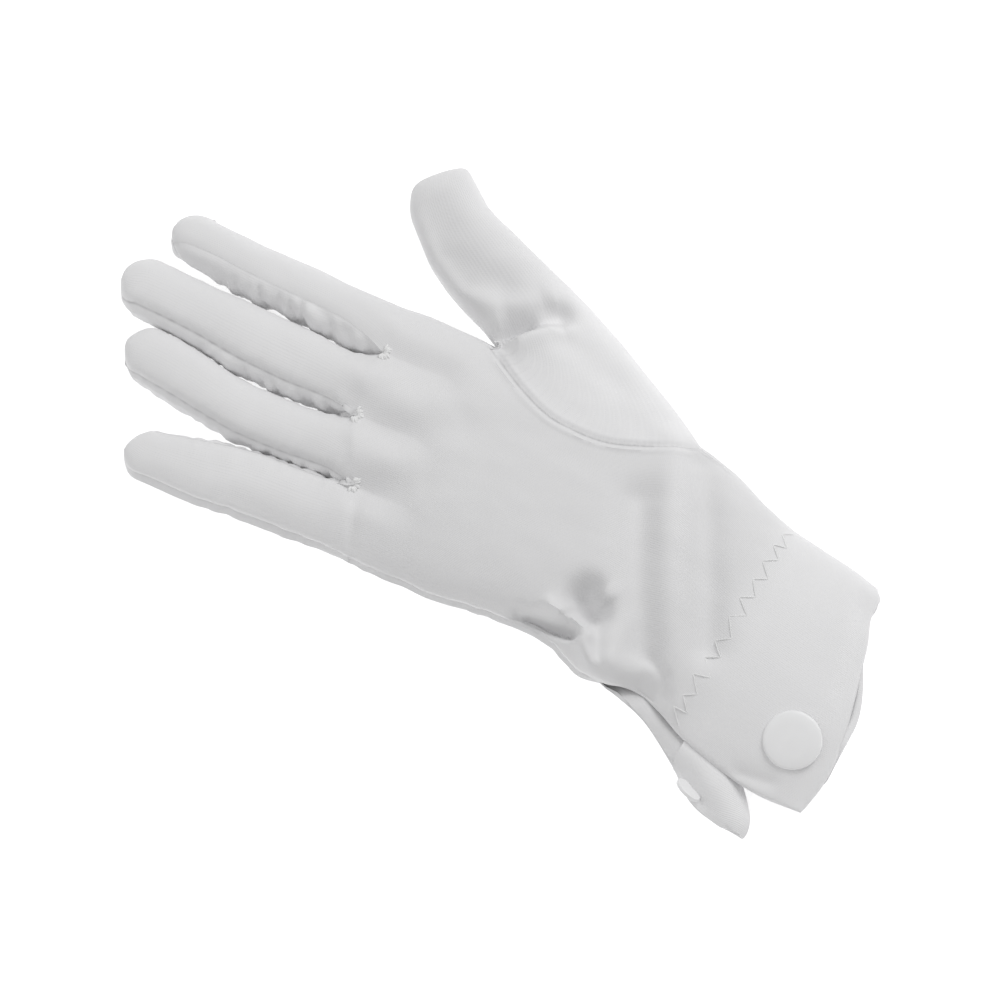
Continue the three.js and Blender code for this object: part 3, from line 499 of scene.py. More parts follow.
@lru_cache(maxsize=None)
def trunk_point(column, row, upper):
    """One point of the palm (upper) or back layer."""
    at = row / ROWS
    fold, side, crown = station(row, upper)
    width = math.dist(fold, side)
    inset = hole_share(row) * (THUMB_INSET if upper else THUMB_INSET_BACK)
    edge = across_share(HOLE_EDGE)
    seam = 1 - 2 * edge - 2 * inset / width
    if column <= HOLE_EDGE:
        v = mix(1, seam, column / HOLE_EDGE)
    else:
        v = mix(seam, -1, (across_share(column) - edge) / (1 - edge))
    along = (1 - v) / 2
    x, y = mix(fold[0], side[0], along), mix(fold[1], side[1], along)
    rooted = smooth(ROOT_START, 1, at)
    root_x, root_y = root_point(column)
    top = across_share(column)
    x += rooted * (root_x - place_x(mix(ROOTS[0][0], ROOTS[-1][0], top)))
    y += rooted * (root_y - place_y(mix(ROOTS[0][1], ROOTS[-1][1], top)))
    cuffed = CUFF_REACH * (1 - smooth(0, CUFF_BLEND, at))
    if upper:
        bow = CUFF_BOW * math.sin(math.pi * along ** BOW_SKEW) - notch(CUFF_NOTCH, along)
        bow -= notch(CORNER, along)
        return x, y - cuffed * bow, palm_height(v, at, row, column, crown)
    cuff, gap = BACK_CUFF, TONGUE_NOTCH
    bow = cuff["depth"] * (smooth(cuff["start"], cuff["full"], along)
                           * (1 - smooth(cuff["ease"], cuff["end"], along)))
    bow -= notch(BACK_NOTCH, along) + notch(CORNER, along)
    past = clamp((along - gap["full"]) / (1 - gap["full"]), 0, 1)
    bow -= gap["depth"] * smooth(gap["start"], gap["full"], along) * (1 - past ** gap["bulge"])
    bow -= gap["rounding"] * past ** 6
    rim = BACK_RIM
    lifted = smooth(0, 1, 1 - row / rim["rows"]) * rim["height"]
    lifted *= smooth(rim["start"], rim["full"], along) * (1 - smooth(rim["ease"], rim["end"], along))
    return x, y - cuffed * bow, back_height(v, row) + lifted


def notch(table, along):
    """Depth of a round notch of the cuff's edge at a share of the width."""
    return table["depth"] * math.exp(-((along - table["at"]) / table["width"]) ** 2)


def vent_share(row):
    """Share by which the vent on the little side is open at a row."""
    share = clamp((VENT_ROW - row) / VENT_OPENING_ROWS, 0, 1)
    return 1 - (1 - share) ** 2


def palm_height(v, at, row, column, crown):
    """Height of the palm layer; v runs from 1 at the fold to -1 at the little side."""
    reach = min(1.0, abs(v))
    bulge = (1 - reach ** PALM_ROUNDNESS) ** (1 / PALM_ROUNDNESS)
    z = mix(SIDE_HEIGHT, crown, bulge)
    if v < 0:
        free = mix(FLAP_EDGE_HEIGHT, crown, 1 - reach ** 2)
        z = mix(z, free, vent_share(row))
    if 0.5 < column < FINGERS - 0.5:
        nearest = abs(column - round(column)) * 2
        dip = 0.5 * (1 + math.cos(math.pi * nearest)) * (1 - DIP_EASE * nearest)
        z -= smooth(DIP_START, 1, at) * ROOT_DIP * dip * (z - SIDE_HEIGHT)
    to_edge = at * LAYER_LENGTH
    if v < 0 and row < VENT_ROW:
        to_edge = min(to_edge, mix(HEM_RADIUS, (1 + v) * HALF_WIDTH, vent_share(row)))
    turned = clamp(1 - to_edge / HEM_RADIUS, 0, 1)
    z -= PALM_RIM["height"] * smooth(0, 1, 1 - row / PALM_RIM["rows"]) * bulge
    return z - HEM_RADIUS * (1 - math.sqrt(1 - turned * turned))


def back_height(v, row):
    """Height of the back layer, flat in the middle and rising to the sides."""
    over = clamp((abs(v) - BACK_FLAT) / (1 - BACK_FLAT), 0, 1)
    vent = vent_share(row) if v < 0 else 0
    return mix(SIDE_HEIGHT, TONGUE_CURL, vent) * (1 - math.sqrt(1 - over * over))


def section_height(across, over, crown, lift):
    """Height of a finger's section, over or under its widest line, pressed flat where it rests."""
    power = TOP_ROUNDNESS if over else UNDER_ROUNDNESS
    bulge = max(0.0, 1 - abs(across) ** power) ** (1 / power)
    return mix(lift, crown, bulge) if over else max(0.0, lift - REST_PRESS * lift * bulge)


def section_across(degrees):
    """Place across a finger's section at an angle, from 1 on the thumb side to -1."""
    angle = math.radians(degrees)
    power = TOP_ROUNDNESS if math.sin(angle) > 0 else UNDER_ROUNDNESS
    return signed_power(math.cos(angle), 2 / power)


def finger_root_y(number):
    return place_y((ROOTS[number][1] + ROOTS[number + 1][1]) / 2)


def tip_size(ahead, bluntness):
    """Size of a blunt tip's section at a share of the way to its end."""
    return max(0.0, 1 - ahead ** bluntness) ** (1 / bluntness)


def round_tip(step, bluntness):
    """How far ahead and how wide a blunt tip is at a step that runs from 1 to 2 round it."""
    angle = math.radians(90 * clamp(step - 1, 0, 1))
    return math.sin(angle) ** (2 / bluntness), max(0.0, math.cos(angle)) ** (2 / bluntness)


@lru_cache(maxsize=None)
def finger_ring(number, step):
    """A section of a finger. step runs from 0 to 1 along the body and on to 2 round the tip."""
    finger = FINGER_TABLES[number]
    sections = finger["sections"]
    tip = min(LONGEST_TIP, PITCH * sections[-1][2] / finger["length"])
    ahead, size = round_tip(step, TIP_BLUNTNESS)
    at = mix(1 - tip, 1, ahead) if step > 1 else step * (1 - tip)
    centre, half, crown = (read(sections, at, i) for i in (1, 2, 3))
    return at, size, place_x(centre), PITCH * half * size, FINGER_HEIGHT * crown


def seam_angles(number, step):
    """Angles of a finger's seams, which meet in pairs near its tip."""
    seams = FINGER_TABLES[number]["seams"]
    shut = smooth(SHUT_START, SHUT_END, step)
    little = mix(seams["palm_little"], seams["back_little"], SHUT_SHARE)
    thumb = mix(seams["palm_thumb"] + 360, seams["back_thumb"], SHUT_SHARE)
    return {
        "palm_thumb": mix(seams["palm_thumb"], thumb - 360, shut),
        "palm_little": mix(seams["palm_little"], little, shut),
        "back_little": mix(seams["back_little"], little, shut),
        "back_thumb": mix(seams["back_thumb"], thumb, shut),
    }


def finger_point(number, step, degrees, root):
    """One point of a finger; root is the point where this line of cloth leaves the palm."""
    finger = FINGER_TABLES[number]
    at, size, centre, half, crown = finger_ring(number, step)
    lift = SIDE_HEIGHT * FINGER_LIFT
    across = section_across(degrees)
    z = section_height(across, math.sin(math.radians(degrees)) > 0, crown, lift)
    shown = math.sqrt(size)
    x = mix(place_x(finger["tip"]), centre + half * across, shown)
    z = mix(SIDE_HEIGHT, z, shown)
    y = mix(root[1], finger_root_y(number) + finger["length"], at)
    loose = 1 - (1 - clamp(at / FINGER_BLEND, 0, 1)) ** 2
    return mix(root[0], x, loose), y, mix(root[2], z, loose)


def thumb_place(x, y):
    return place_x(THUMB_HEART[0]) + THUMB_LENGTH * x, place_y(THUMB_HEART[1]) + THUMB_LENGTH * y


@lru_cache(maxsize=None)
def thumb_ring(step):
    """A section of the thumb. step runs from 0 to 1 along the body and on to 2 round the tip."""
    ahead, size = round_tip(step, THUMB_BLUNTNESS)
    at = mix(THUMB_TIP_START, 1, ahead) if step > 1 else step * THUMB_TIP_START
    inner_x, inner_y, outer_x, outer_y, crown = (read(THUMB_SECTIONS, at, i) for i in range(1, 6))
    inner, outer = thumb_place(inner_x, inner_y), thumb_place(outer_x, outer_y)
    return at, size, tip_size(ahead, THUMB_HEIGHT_BLUNTNESS), inner, outer, THUMB_HEIGHT * crown


def thumb_point(step, around, upper, seam):
    """One point of the thumb; around runs from 0 at the inner edge to 1 at the outer edge."""
    at, size, height_size, inner, outer, crown = thumb_ring(step)
    round_share = section_across((180 if upper else -180) * around)
    even_share = 1 - 2 * across_share(around * FINGERS, THUMB_CROWDING)
    share = mix(even_share, round_share, smooth(*THUMB_ROUNDED, at))
    x, y = (mix(outer[i], inner[i], (1 + share) / 2) for i in (0, 1))
    z = section_height(share, upper, crown, SIDE_HEIGHT)
    tip = thumb_place(*THUMB_TIP)
    x, y, z = mix(tip[0], x, size), mix(tip[1], y, size), mix(SIDE_HEIGHT, z, height_size)
    loose = 1 - (1 - clamp(at / THUMB_BLEND, 0, 1)) ** THUMB_EASE
    return tuple(mix(a, b, loose) for a, b in zip(seam, (x, y, z)))


def crotch_point(column, share):
    """The line between two fingers, from the palm layer down to the back layer."""
    top, bottom = trunk_point(column, ROWS, True), trunk_point(column, ROWS, False)
    x, y, z = (mix(a, b, share) for a, b in zip(top, bottom))
    return x, y - CROTCH_SAG * math.sin(math.pi * share), z


def hole_rim(number, upper):
    """The rim of the thumb hole, from the fold at the crotch over one layer to the wrist."""
    rows = HOLE_END_ROW - HOLE_START_ROW
    ends = clamp(number, 0, 1) * clamp(rows + 2 - number, 0, 1)
    row = HOLE_END_ROW - clamp(number - 1, 0, rows)
    return trunk_point(round(HOLE_EDGE * ends, 6), round(row, 6), upper)


class Skin:
    """Shared points of the whole glove, with faces filed under their piece of cloth."""

    def __init__(self):
        self.points = []
        self.index = {}
        self.pieces = {}

    def add(self, point):
        key = tuple(round(value * 1e7) for value in point)
        if key not in self.index:
            self.index[key] = len(self.points)
            self.points.append(point)
        return self.index[key]

    def patch(self, piece, rows, columns, point_at, uv_at, is_hole=None):
        ids = [[self.add(point_at(row, column)) for column in columns] for row in rows]
        faces = self.pieces.setdefault(piece, [])
        for i in range(len(rows) - 1):
            for j in range(len(columns) - 1):
                if is_hole and is_hole(rows[i], columns[j]):
                    continue
                corners = ((i, j), (i + 1, j), (i + 1, j + 1), (i, j + 1))
                kept = []
                for a, b in corners:
                    if ids[a][b] not in [corner[0] for corner in kept]:
                        kept.append((ids[a][b], uv_at(rows[a], columns[b])))
                if len(kept) > 2:
                    faces.append(kept)


def normals_of(points, faces):
    """Directions out of a skin at its points, from the areas of its faces."""
    normals = np.zeros_like(points)
    for count in (3, 4):
        ids = np.array([f for f in faces if len(f) == count], int)
        if len(ids):
            corners = points[ids]
            area = np.cross(corners[:, 2] - corners[:, 0], corners[:, -1] - corners[:, 1])
            for i in range(count):
                np.add.at(normals, ids[:, i], area)
    return normals / np.maximum(np.linalg.norm(normals, axis=1, keepdims=True), 1e-12)


def spread(count, dense):
    """Shares from 0 to 1 with extra ones close to both ends."""
    even = [i / count for i in range(count + 1)]
    return sorted(set(even) | {round(d, 4) for d in dense} | {round(1 - d, 4) for d in dense})


def sampled_columns(fine):
    """Columns on which the layers are read; a seam has close ones beside it."""
    shares = spread(round(COLUMNS_PER_FINGER * fine), BESIDE_SEAM)
    columns = {round(number + share, 6) for number in range(FINGERS) for share in shares}
    return sorted(columns | {round(HOLE_EDGE + beside, 6) for beside in BESIDE_HOLE})


def sampled_rows(fine):
    """Rows on which the layers are read, closer at the hem and where the deep folds are."""
    per_row = round(LINES_PER_ROW * fine)
    dense = FOLDED_DENSITY * per_row
    first, last = FOLDED_ROWS
    even = {round(i / per_row, 6) for i in range(ROWS * per_row + 1)} | set(HEM_ROWS)
    rows = {row for row in even if not first < row < last}
    return sorted(rows | {round(first + i / dense, 6) for i in range(1, int((last - first) * dense))})


def steps_along(body, tip):
    """Steps from 0 to 1 along the body of a finger and on to 2 round its tip."""
    steps = [i / body for i in range(body + 1)] + [1 + i / tip for i in range(1, tip + 1)]
    return [round(step, 6) for step in steps]


def build_trunk(skin, rows, columns):
    """The palm and back layers, with the cuff filed apart and the thumb hole left open."""
    cuff = [row for row in rows if row <= FACING_ROW]
    body = [row for row in rows if row >= FACING_ROW]

    def uv_at(row, column):
        return column * PITCH, row / ROWS * LAYER_LENGTH

    def is_hole(row, column):
        return column < HOLE_EDGE and HOLE_START_ROW <= row < HOLE_END_ROW

    def is_hole_from_behind(row, column):
        return column <= HOLE_EDGE and HOLE_START_ROW <= row < HOLE_END_ROW

    for name, part in (("palm_cuff", cuff), ("palm", body)):
        skin.patch(name, part, columns, lambda r, c: trunk_point(c, r, True), uv_at, is_hole)
    for name, part in (("back_cuff", cuff), ("back", body)):
        skin.patch(name, part, columns[::-1], lambda r, c: trunk_point(c, r, False), uv_at,
                   is_hole_from_behind)


def build_finger(skin, number, columns, steps, strip):
    """The two layers of one finger and its sides of the strips beside it."""
    own = [round(c - number, 6) for c in columns if number <= c <= number + 1]
    body = [step for step in steps if step <= SHUT_END]
    length = FINGER_TABLES[number]["length"]

    def layer(low, high, upper):
        def point_at(step, share):
            angles = seam_angles(number, step)
            root = trunk_point(round(number + share, 6), ROWS, upper)
            return finger_point(number, step, mix(angles[low], angles[high], share), root)
        return point_at

    def strip_side(low, high, column, turned):
        def point_at(step, share):
            angles = seam_angles(number, step)
            high_angle = angles[high] + (FULL_TURN if high == "palm_thumb" else 0)
            root = crotch_point(column, 1 - share if turned else share)
            return finger_point(number, step, mix(angles[low], high_angle, share), root)
        return point_at

    def uv_at(step, share):
        return (number + share) * PITCH, LAYER_LENGTH + finger_ring(number, step)[0] * length

    def strip_uv_at(step, share):
        return share * PITCH / 2, (finger_ring(number, step)[0] - 1) * length

    skin.patch("palm", steps, own, layer("palm_thumb", "palm_little", True), uv_at)
    skin.patch("back", steps, own[::-1], layer("back_thumb", "back_little", False), uv_at)
    if number < FINGERS - 1:
        side = strip_side("palm_little", "back_little", number + 1, False)
        skin.patch(f"fork_{number}", body, strip, side, strip_uv_at)
    if number > 0:
        side = strip_side("back_thumb", "palm_thumb", number, True)
        skin.patch(f"fork_{number - 1}", body, strip, side, strip_uv_at)


def build_thumb(skin, rows, columns, steps):
    """The thumb, from the rim of its hole to its tip."""
    ends = [c / HOLE_EDGE for c in columns if c <= HOLE_EDGE]
    last = HOLE_END_ROW - HOLE_START_ROW + 2
    middle = [HOLE_END_ROW - r + 1 for r in rows if HOLE_START_ROW <= r <= HOLE_END_ROW]
    around = sorted({round(n, 6) for n in ends + middle + [last - e for e in ends]})

    def uv_at(step, number):
        return number / last * PALM_WIDTH / 2, thumb_ring(step)[0] * THUMB_LENGTH

    skin.patch("thumb", steps, around[::-1], lambda s, n: thumb_point(
        s, n / last, True, hole_rim(n, True)), uv_at)
    skin.patch("thumb", steps, around, lambda s, n: thumb_point(
        s, n / last, False, hole_rim(n, False)), uv_at)

def bare_skin():
    """The skin of the whole glove before its folds and seams."""
    fine = 1.0
    rows, columns = sampled_rows(fine), sampled_columns(fine)
    steps = steps_along(round(FINGER_STEPS * fine), FINGER_TIP_STEPS)
    strip = spread(round(STRIP_COLUMNS * fine), BESIDE_STRIP)
    skin = Skin()
    build_trunk(skin, rows, columns)
    for number in range(FINGERS):
        build_finger(skin, number, columns, steps, strip)
    build_thumb(skin, rows, columns, steps_along(round(THUMB_STEPS * fine), THUMB_TIP_STEPS))
    return skin


def seam_kind(number, layer, side):
    """Kind of the seam along a finger's edge; the outer edges of the back share the palm's."""
    if (number, side) in ((0, "thumb"), (FINGERS - 1, "little")):
        return "side" if layer == "palm" else None
    if layer == "back":
        return "under"
    return "strip" if number else "crown"


def seam_samples():
    """Points along every seam: place, length along its line and kind of seam."""
    samples = []

    def line(kind, points):
        along = 0.0
        for i, point in enumerate(points):
            along += math.dist(point, points[i - 1]) if i else 0.0
            samples.append((point, along, kind))

    hole = np.linspace(HOLE_END_ROW, HOLE_START_ROW, SEAM_SAMPLES["thumb"])
    for upper in (True, False):
        line("thumb", [trunk_point(HOLE_EDGE, row, upper) for row in hole])
    closed = np.linspace(VENT_ROW, ROWS, SEAM_SAMPLES["side"])
    line("side", [trunk_point(FINGERS, row, True) for row in closed])
    for number in range(FINGERS):
        for layer, side in (("palm", "thumb"), ("palm", "little"), ("back", "little"), ("back", "thumb")):
            kind = seam_kind(number, layer, side)
            if not kind:
                continue
            root = trunk_point(number + (1 if side == "little" else 0), ROWS, layer == "palm")
            start = 1.0 if (number, side) == (0, "thumb") else 0.0
            end = 2.0 if layer == "palm" else SHUT_END
            line(kind, [finger_point(number, step, seam_angles(number, step)[f"{layer}_{side}"], root)
                        for step in np.linspace(start, end, SEAM_SAMPLES["finger"])])
    return samples


def waves(along, pitch, shift=0.0):
    """A row of small waves along a seam, whose pitch and height drift from wave to wave."""
    turn = 2 * np.pi * along / pitch
    return (np.sin(turn + 1.9 * np.sin(turn / 3.7 + shift) + shift)
            * (0.62 + 0.38 * np.sin(turn / 2.3 + 2 * shift)))


def field(points, stretch, seed):
    """Soft noise over points, drawn out along the directions whose stretch is long."""
    shift = Vector((seed, 2.3 * seed, 3.1 * seed))
    return np.array([noise.noise(Vector(point) + shift) for point in points / np.array(stretch)])


def nearest_on_path(points, path):
    """Distance of points to a path seen from above, share of the way along it and side of it."""
    line = np.array([(place_x(x), place_y(y)) for x, y in path])
    lengths = np.linalg.norm(np.diff(line, axis=0), axis=1)
    starts = np.concatenate(([0.0], np.cumsum(lengths)))
    best = np.full(len(points), np.inf)
    side, way = np.zeros(len(points)), np.zeros(len(points))
    for a, b, length, start in zip(line, line[1:], lengths, starts):
        offset, ahead = points[:, :2] - a, b - a
        share = np.clip(offset @ ahead / length ** 2, 0, 1)
        away = np.linalg.norm(offset - share[:, None] * ahead, axis=1)
        closer = away < best
        best = np.where(closer, away, best)
        side = np.where(closer, np.sign(ahead[0] * offset[:, 1] - ahead[1] * offset[:, 0]), side)
        way = np.where(closer, (start + share * length) / starts[-1], way)
    return best, way, side


def fold_depths(points, table, power):
    """Summed depth of the folds of a table at the points."""
    total = np.zeros(len(points))
    for _, path, left, right, depth in table:
        away, way, side = nearest_on_path(points, path)
        inside = np.clip(np.minimum(way, 1 - way) / FOLD_END, 0, 1)
        width = (left + right) / 2 + inside * side * (left - right) / 2
        total += depth * PALM_HEIGHT * np.exp(-(away / (width * PALM_HEIGHT)) ** power)
    return total


def crest_rise(points):
    """How far the rolled tongue lifts the back layer."""
    away, way, side = nearest_on_path(points, TONGUE_CREST)
    heights = np.interp(way, np.linspace(0, 1, len(CREST_HEIGHTS)), CREST_HEIGHTS)
    fade = np.clip((CREST_START - points[:, 1]) / CREST_FADE, 0, 1)
    ending = np.clip((1 - way) / CREST_END, 0, 1)
    inner, outer = CREST_WIDTHS
    width = np.where(side > 0, mix(outer, inner, ending), outer)
    return heights * fade * np.exp(-(away / width) ** 2)


def quiet_share(points):
    """Distance to the tips, seam ends and corners of the cloth, and a share that is 0 there."""
    places = [(place_x(finger["tip"]), finger_root_y(i) + finger["length"], SIDE_HEIGHT)
              for i, finger in enumerate(FINGER_TABLES)]
    places.append((*thumb_place(*THUMB_TIP), SIDE_HEIGHT))
    places.append(trunk_point(0.0, HOLE_END_ROW, True))
    places.append(trunk_point(FINGERS, VENT_ROW, True))
    places += [trunk_point(FINGERS, 0, upper) for upper in (True, False)]
    for number in range(FINGERS):
        root = trunk_point(number, ROWS, True)
        places += [finger_point(number, SHUT_END, seam_angles(number, SHUT_END)[edge], root)
                   for edge in ("palm_thumb", "palm_little")]
    away = np.min([np.linalg.norm(points - np.array(place), axis=1) for place in places], axis=0)
    return away, 1 - np.exp(-(away / QUIET_REACH) ** 2)


def ids_of(skin, family):
    """Points of the pieces whose names start with one word."""
    return sorted({corner[0] for name, piece in skin.pieces.items() if name.startswith(family)
                   for face in piece for corner in face})


def gathers(strip, away, from_tip):
    """Irregular slanting lumps with narrow valleys in the strips, 0 at their seams."""
    slanted = strip.copy()
    slanted[:, 1] -= GATHERS["slant"] * strip[:, 2]
    lumps = np.clip(np.abs(field(slanted, LUMP_NOISE, seed=4.0)) / LUMP_WIDTH, 0, 1) ** LUMP_POWER
    size = LUMP_SIZE + LUMP_SIZE_SPREAD * field(strip, LUMP_SIZE_NOISE, seed=6.0)
    small = field(strip, SMALL_LUMP_NOISE, seed=9.0)
    inside = 1 - np.exp(-(away / GATHER_EDGE) ** 2)
    ease = np.clip((from_tip - GATHER_EASE["start"]) / GATHER_EASE["reach"], GATHER_EASE["least"], 1)
    height = GATHERS["lump"] * lumps * size - GATHERS["valley"] + GATHERS["small"] * small
    return inside * (ease * height + GATHERS["fullness"])


def unevenness(points):
    """Soft noise over the whole glove, calmer on the cuff."""
    least = CALM_CUFF["least"]
    calm = mix(least, 1, np.clip((points[:, 1] - CALM_CUFF["end"]) / CALM_CUFF["reach"], 0, 1))
    coarse, fine = field(points, COARSE_NOISE, seed=1.0), field(points, FINE_NOISE, seed=2.0)
    return calm * (coarse + FINE_NOISE_SHARE * fine)


def nearest_seams(points):
    """Distance of points to the nearest seam, length along it, its kind and how far it lasts."""
    samples = seam_samples()
    tree = kdtree.KDTree(len(samples))
    for i, sample in enumerate(samples):
        tree.insert(sample[0], i)
    tree.balance()
    found = [tree.find(point) for point in points]
    away = np.array([hit[2] for hit in found])
    along = np.array([samples[hit[1]][1] for hit in found])
    kinds = np.array([samples[hit[1]][2] for hit in found])
    thumb_end = max(sample[1] for sample in samples if sample[2] == "thumb")
    lasting = np.where(kinds == "thumb", np.clip((thumb_end - along) / THUMB_SEAM_FADE, 0, 1), 1.0)
    return away, along, kinds, lasting


def seam_moves(cloth, base, on_thumb, seams):
    """How far the seams draw the cloth in and their lips, rims and puckers push it out."""
    away, along, kinds, lasting = seams
    is_thumb = kinds == "thumb"
    reach = away / cloth.seam_width
    depth = np.array([SEAM_SHARES[kind] for kind in kinds]) * lasting * cloth.seam_depth
    height = np.where(is_thumb, np.where(on_thumb, THUMB_LIP["thumb"], THUMB_LIP["palm"]), LIP["height"])
    at, width = (np.where(is_thumb, THUMB_LIP[label], LIP[label]) for label in ("at", "width"))
    move = depth * (height * np.exp(-((reach - at) / width) ** 2) - np.exp(-reach ** 2))
    has_rim = (kinds == "side") & (base[:, 2] < SIDE_HEIGHT)
    move += has_rim * cloth.seam_rim * np.exp(-(reach - RIM_AT) ** 2)
    for kind, pitch, rise, fall in PUCKERS:
        fade = np.exp(-away / fall) * (1 - np.exp(-(away / PUCKER_START) ** 2))
        move += (kinds == kind) * rise * cloth.pucker * fade * waves(along, pitch, len(kind))
    return move


# The dressed skin, made once and shared by all makers
SKIN = {}


def dressed_skin(cloth):
    """The skin with its folds, seams, puckers and small unevenness, ready to be cut into pieces."""
    skin = bare_skin()
    faces = [[corner[0] for corner in face] for piece in skin.pieces.values() for face in piece]
    base = np.array(skin.points)
    normals = normals_of(base, faces)

    upper = np.clip(normals[:, 2], 0, 1) ** FACING_POWER
    folds = fold_depths(base, FOLDS, FOLD_POWER) + fold_depths(base, CREASES, CREASE_POWER)
    points = base.copy()
    points[:, 2] -= folds * upper
    back = ids_of(skin, "back")
    points[back, 2] += crest_rise(base[back]) * (normals[back, 2] < UNDERSIDE_RISE)
    normals = normals_of(points, faces)

    on_thumb = np.zeros(len(base), bool)
    on_thumb[ids_of(skin, "thumb")] = True
    seams = nearest_seams(base)
    away, along, kinds, lasting = seams
    move = seam_moves(cloth, base, on_thumb, seams)
    strips = ids_of(skin, "fork")
    from_tip, quiet = quiet_share(base)
    move[strips] += cloth.strip_ripple * gathers(base[strips], away[strips], from_tip[strips])
    move = move * quiet + cloth.unevenness * unevenness(base)
    points += normals * move[:, None]
    points[:, 2] = np.maximum(points[:, 2], REST_CLEARANCE)

    # Distance to the seams' lines of painted shade, moved away at the crown and at the thumb seam's fading
    # end
    shown = away + LINE_HIDDEN * (1 - lasting) + LINE_HIDDEN * (kinds == "crown")
    SKIN.update(skin=skin, points=points, normals=normals_of(points, faces), away=shown, along=along,
                wall=np.clip(from_tip / WALL_TAPER, 0, 1))
    return SKIN


def cut_mesh(name, faces, used, points):
    """A mesh of some faces of the skin, with its place on the cut and its distance to the seams."""
    number = {point: i for i, point in enumerate(used)}
    mesh = bpy.data.meshes.new(name)
    mesh.from_pydata([tuple(points[i]) for i in used], [],
                     [[number[corner[0]] for corner in face] for face in faces])
    cut = mesh.uv_layers.new(name="cut")
    cut.data.foreach_set("uv", [value for face in faces for corner in face for value in corner[1]])
    for label, source in (("seam_distance", SKIN["away"]), ("seam_length", SKIN["along"])):
        values = mesh.attributes.new(label, "FLOAT", "POINT")
        values.data.foreach_set("value", source[used].astype(np.float32))
    return mesh


def draw_in_edges(mesh):
    """Sets the cut edges back a little, so that two pieces don't touch along their seam."""
    shape = bmesh.new()
    shape.from_mesh(mesh)
    moves = {}
    for edge in shape.edges:
        if edge.is_boundary:
            face = edge.link_faces[0]
            inward = face.calc_center_median() - (edge.verts[0].co + edge.verts[1].co) / 2
            for vert in edge.verts:
                moves.setdefault(vert, []).append(inward.normalized())
    for vert, directions in moves.items():
        vert.co += sum(directions, Vector()).normalized() * SET_BACK
    shape.to_mesh(mesh)
    shape.free()


def thicken(piece, wall, shares):
    """Gives a piece of cloth its thickness towards the inside, thinner where the shares are low."""
    taper = piece.vertex_groups.new(name="wall")
    for i, share in enumerate(shares):
        taper.add([i], float(share), "REPLACE")
    thickness = piece.modifiers.new("wall", "SOLIDIFY")
    thickness.vertex_group = taper.name
    thickness.thickness_vertex_group = THIN_SHARE
    thickness.thickness = wall
    thickness.offset = -1
    choose(piece)
    bpy.ops.object.modifier_apply(modifier="wall")


def cloth_piece(name, keys, wall, material, inset=0.0):
    """A piece of cloth cut from the dressed skin, with its thickness towards the inside."""
    faces = [face for key in keys for face in SKIN["skin"].pieces[key]]
    used = sorted({corner[0] for face in faces for corner in face})
    mesh = cut_mesh(name, faces, used, SKIN["points"] - SKIN["normals"] * inset * SKIN["wall"][:, None])
    mesh.materials.append(material)
    draw_in_edges(mesh)
    piece = bpy.data.objects.new(name, mesh)
    bpy.context.scene.collection.objects.link(piece)
    thicken(piece, wall, SKIN["wall"][used])
    for vertex in piece.data.vertices:
        vertex.co.z = max(vertex.co.z, REST_CLEARANCE / 2)
    bpy.ops.object.shade_smooth_by_angle(angle=CLOTH_SMOOTH_ANGLE)
    return piece


def choose(*objects):
    """Selects these objects alone and makes the first one active."""
    bpy.ops.object.select_all(action="DESELECT")
    for each in objects:
        each.select_set(True)
    bpy.context.view_layer.objects.active = objects[0]


def settle(piece, slot, *nodes):
    """Lets a finished piece ride on the glove and hides the solids it stands for; slot is not used."""
    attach(piece, BODY)
    if nodes:
        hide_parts(*nodes)


def drop(tree, x, y, from_above=True):
    """The place where a point over or under the cloth meets it, and the cloth's direction there."""
    height = DROP_HEIGHT if from_above else -DROP_HEIGHT
    down = Vector((0, 0, -1 if from_above else 1))
    place, normal, _, _ = tree.ray_cast(Vector((x, y, height)), down)
    if place is None:
        raise RuntimeError(f"no cloth at {x:.4f}, {y:.4f}")
    return place, normal


def cloth_tree(*names):
    """The outside of finished pieces, to lay stitches on."""
    vertices, polygons = [], []
    for name in names:
        mesh = bpy.data.objects[name].data
        start = len(vertices)
        vertices += [vertex.co.copy() for vertex in mesh.vertices]
        polygons += [[start + i for i in polygon.vertices] for polygon in mesh.polygons]
    return BVHTree.FromPolygons(vertices, polygons)


def threads(name, paths, radius, material):
    """One piece of thread for each path, joined into a single mesh."""
    curve = bpy.data.curves.new(name, "CURVE")
    curve.dimensions = "3D"
    curve.bevel_depth = radius
    curve.bevel_resolution = 1
    curve.use_fill_caps = True
    for path in paths:
        spline = curve.splines.new("POLY")
        spline.points.add(len(path) - 1)
        for point, place in zip(spline.points, path):
            point.co = (*place, 1.0)
    piece = bpy.data.objects.new(name, curve)
    bpy.context.scene.collection.objects.link(piece)
    choose(piece)
    bpy.ops.object.convert(target="MESH")
    piece = bpy.context.view_layer.objects.active
    piece.data.materials.clear()
    piece.data.materials.append(material)
    bpy.ops.object.shade_smooth()
    return piece


def stitch(start, end, normal, lift, points=6):
    """A thread that comes out of the cloth, arches over it and goes in again."""
    path = []
    for i in range(points):
        share = i / (points - 1)
        height = lift * math.sin(math.pi * share) ** STITCH_ROUNDNESS
        height -= STITCH_SINK * lift * (share in (0, 1))
        path.append(start.lerp(end, share) + normal * height)
    return path


def uneven(number, seed):
    """A number between -1 and 1 that differs from stitch to stitch."""
    return math.sin(12.9 * number + 4.1 * seed) * math.cos(7.7 * number + seed)


def laid_stitch(tree, start, end, upper, lift):
    """A stitch between two places in the plane, on the cloth and above the floor."""
    place, normal = drop(tree, *start, upper)
    other, _ = drop(tree, *end, upper)
    outward = normal if (normal.z > 0) == upper else -normal
    path = stitch(place, other, outward, lift)
    return [Vector((x, y, max(z, lift))) for x, y, z in path]


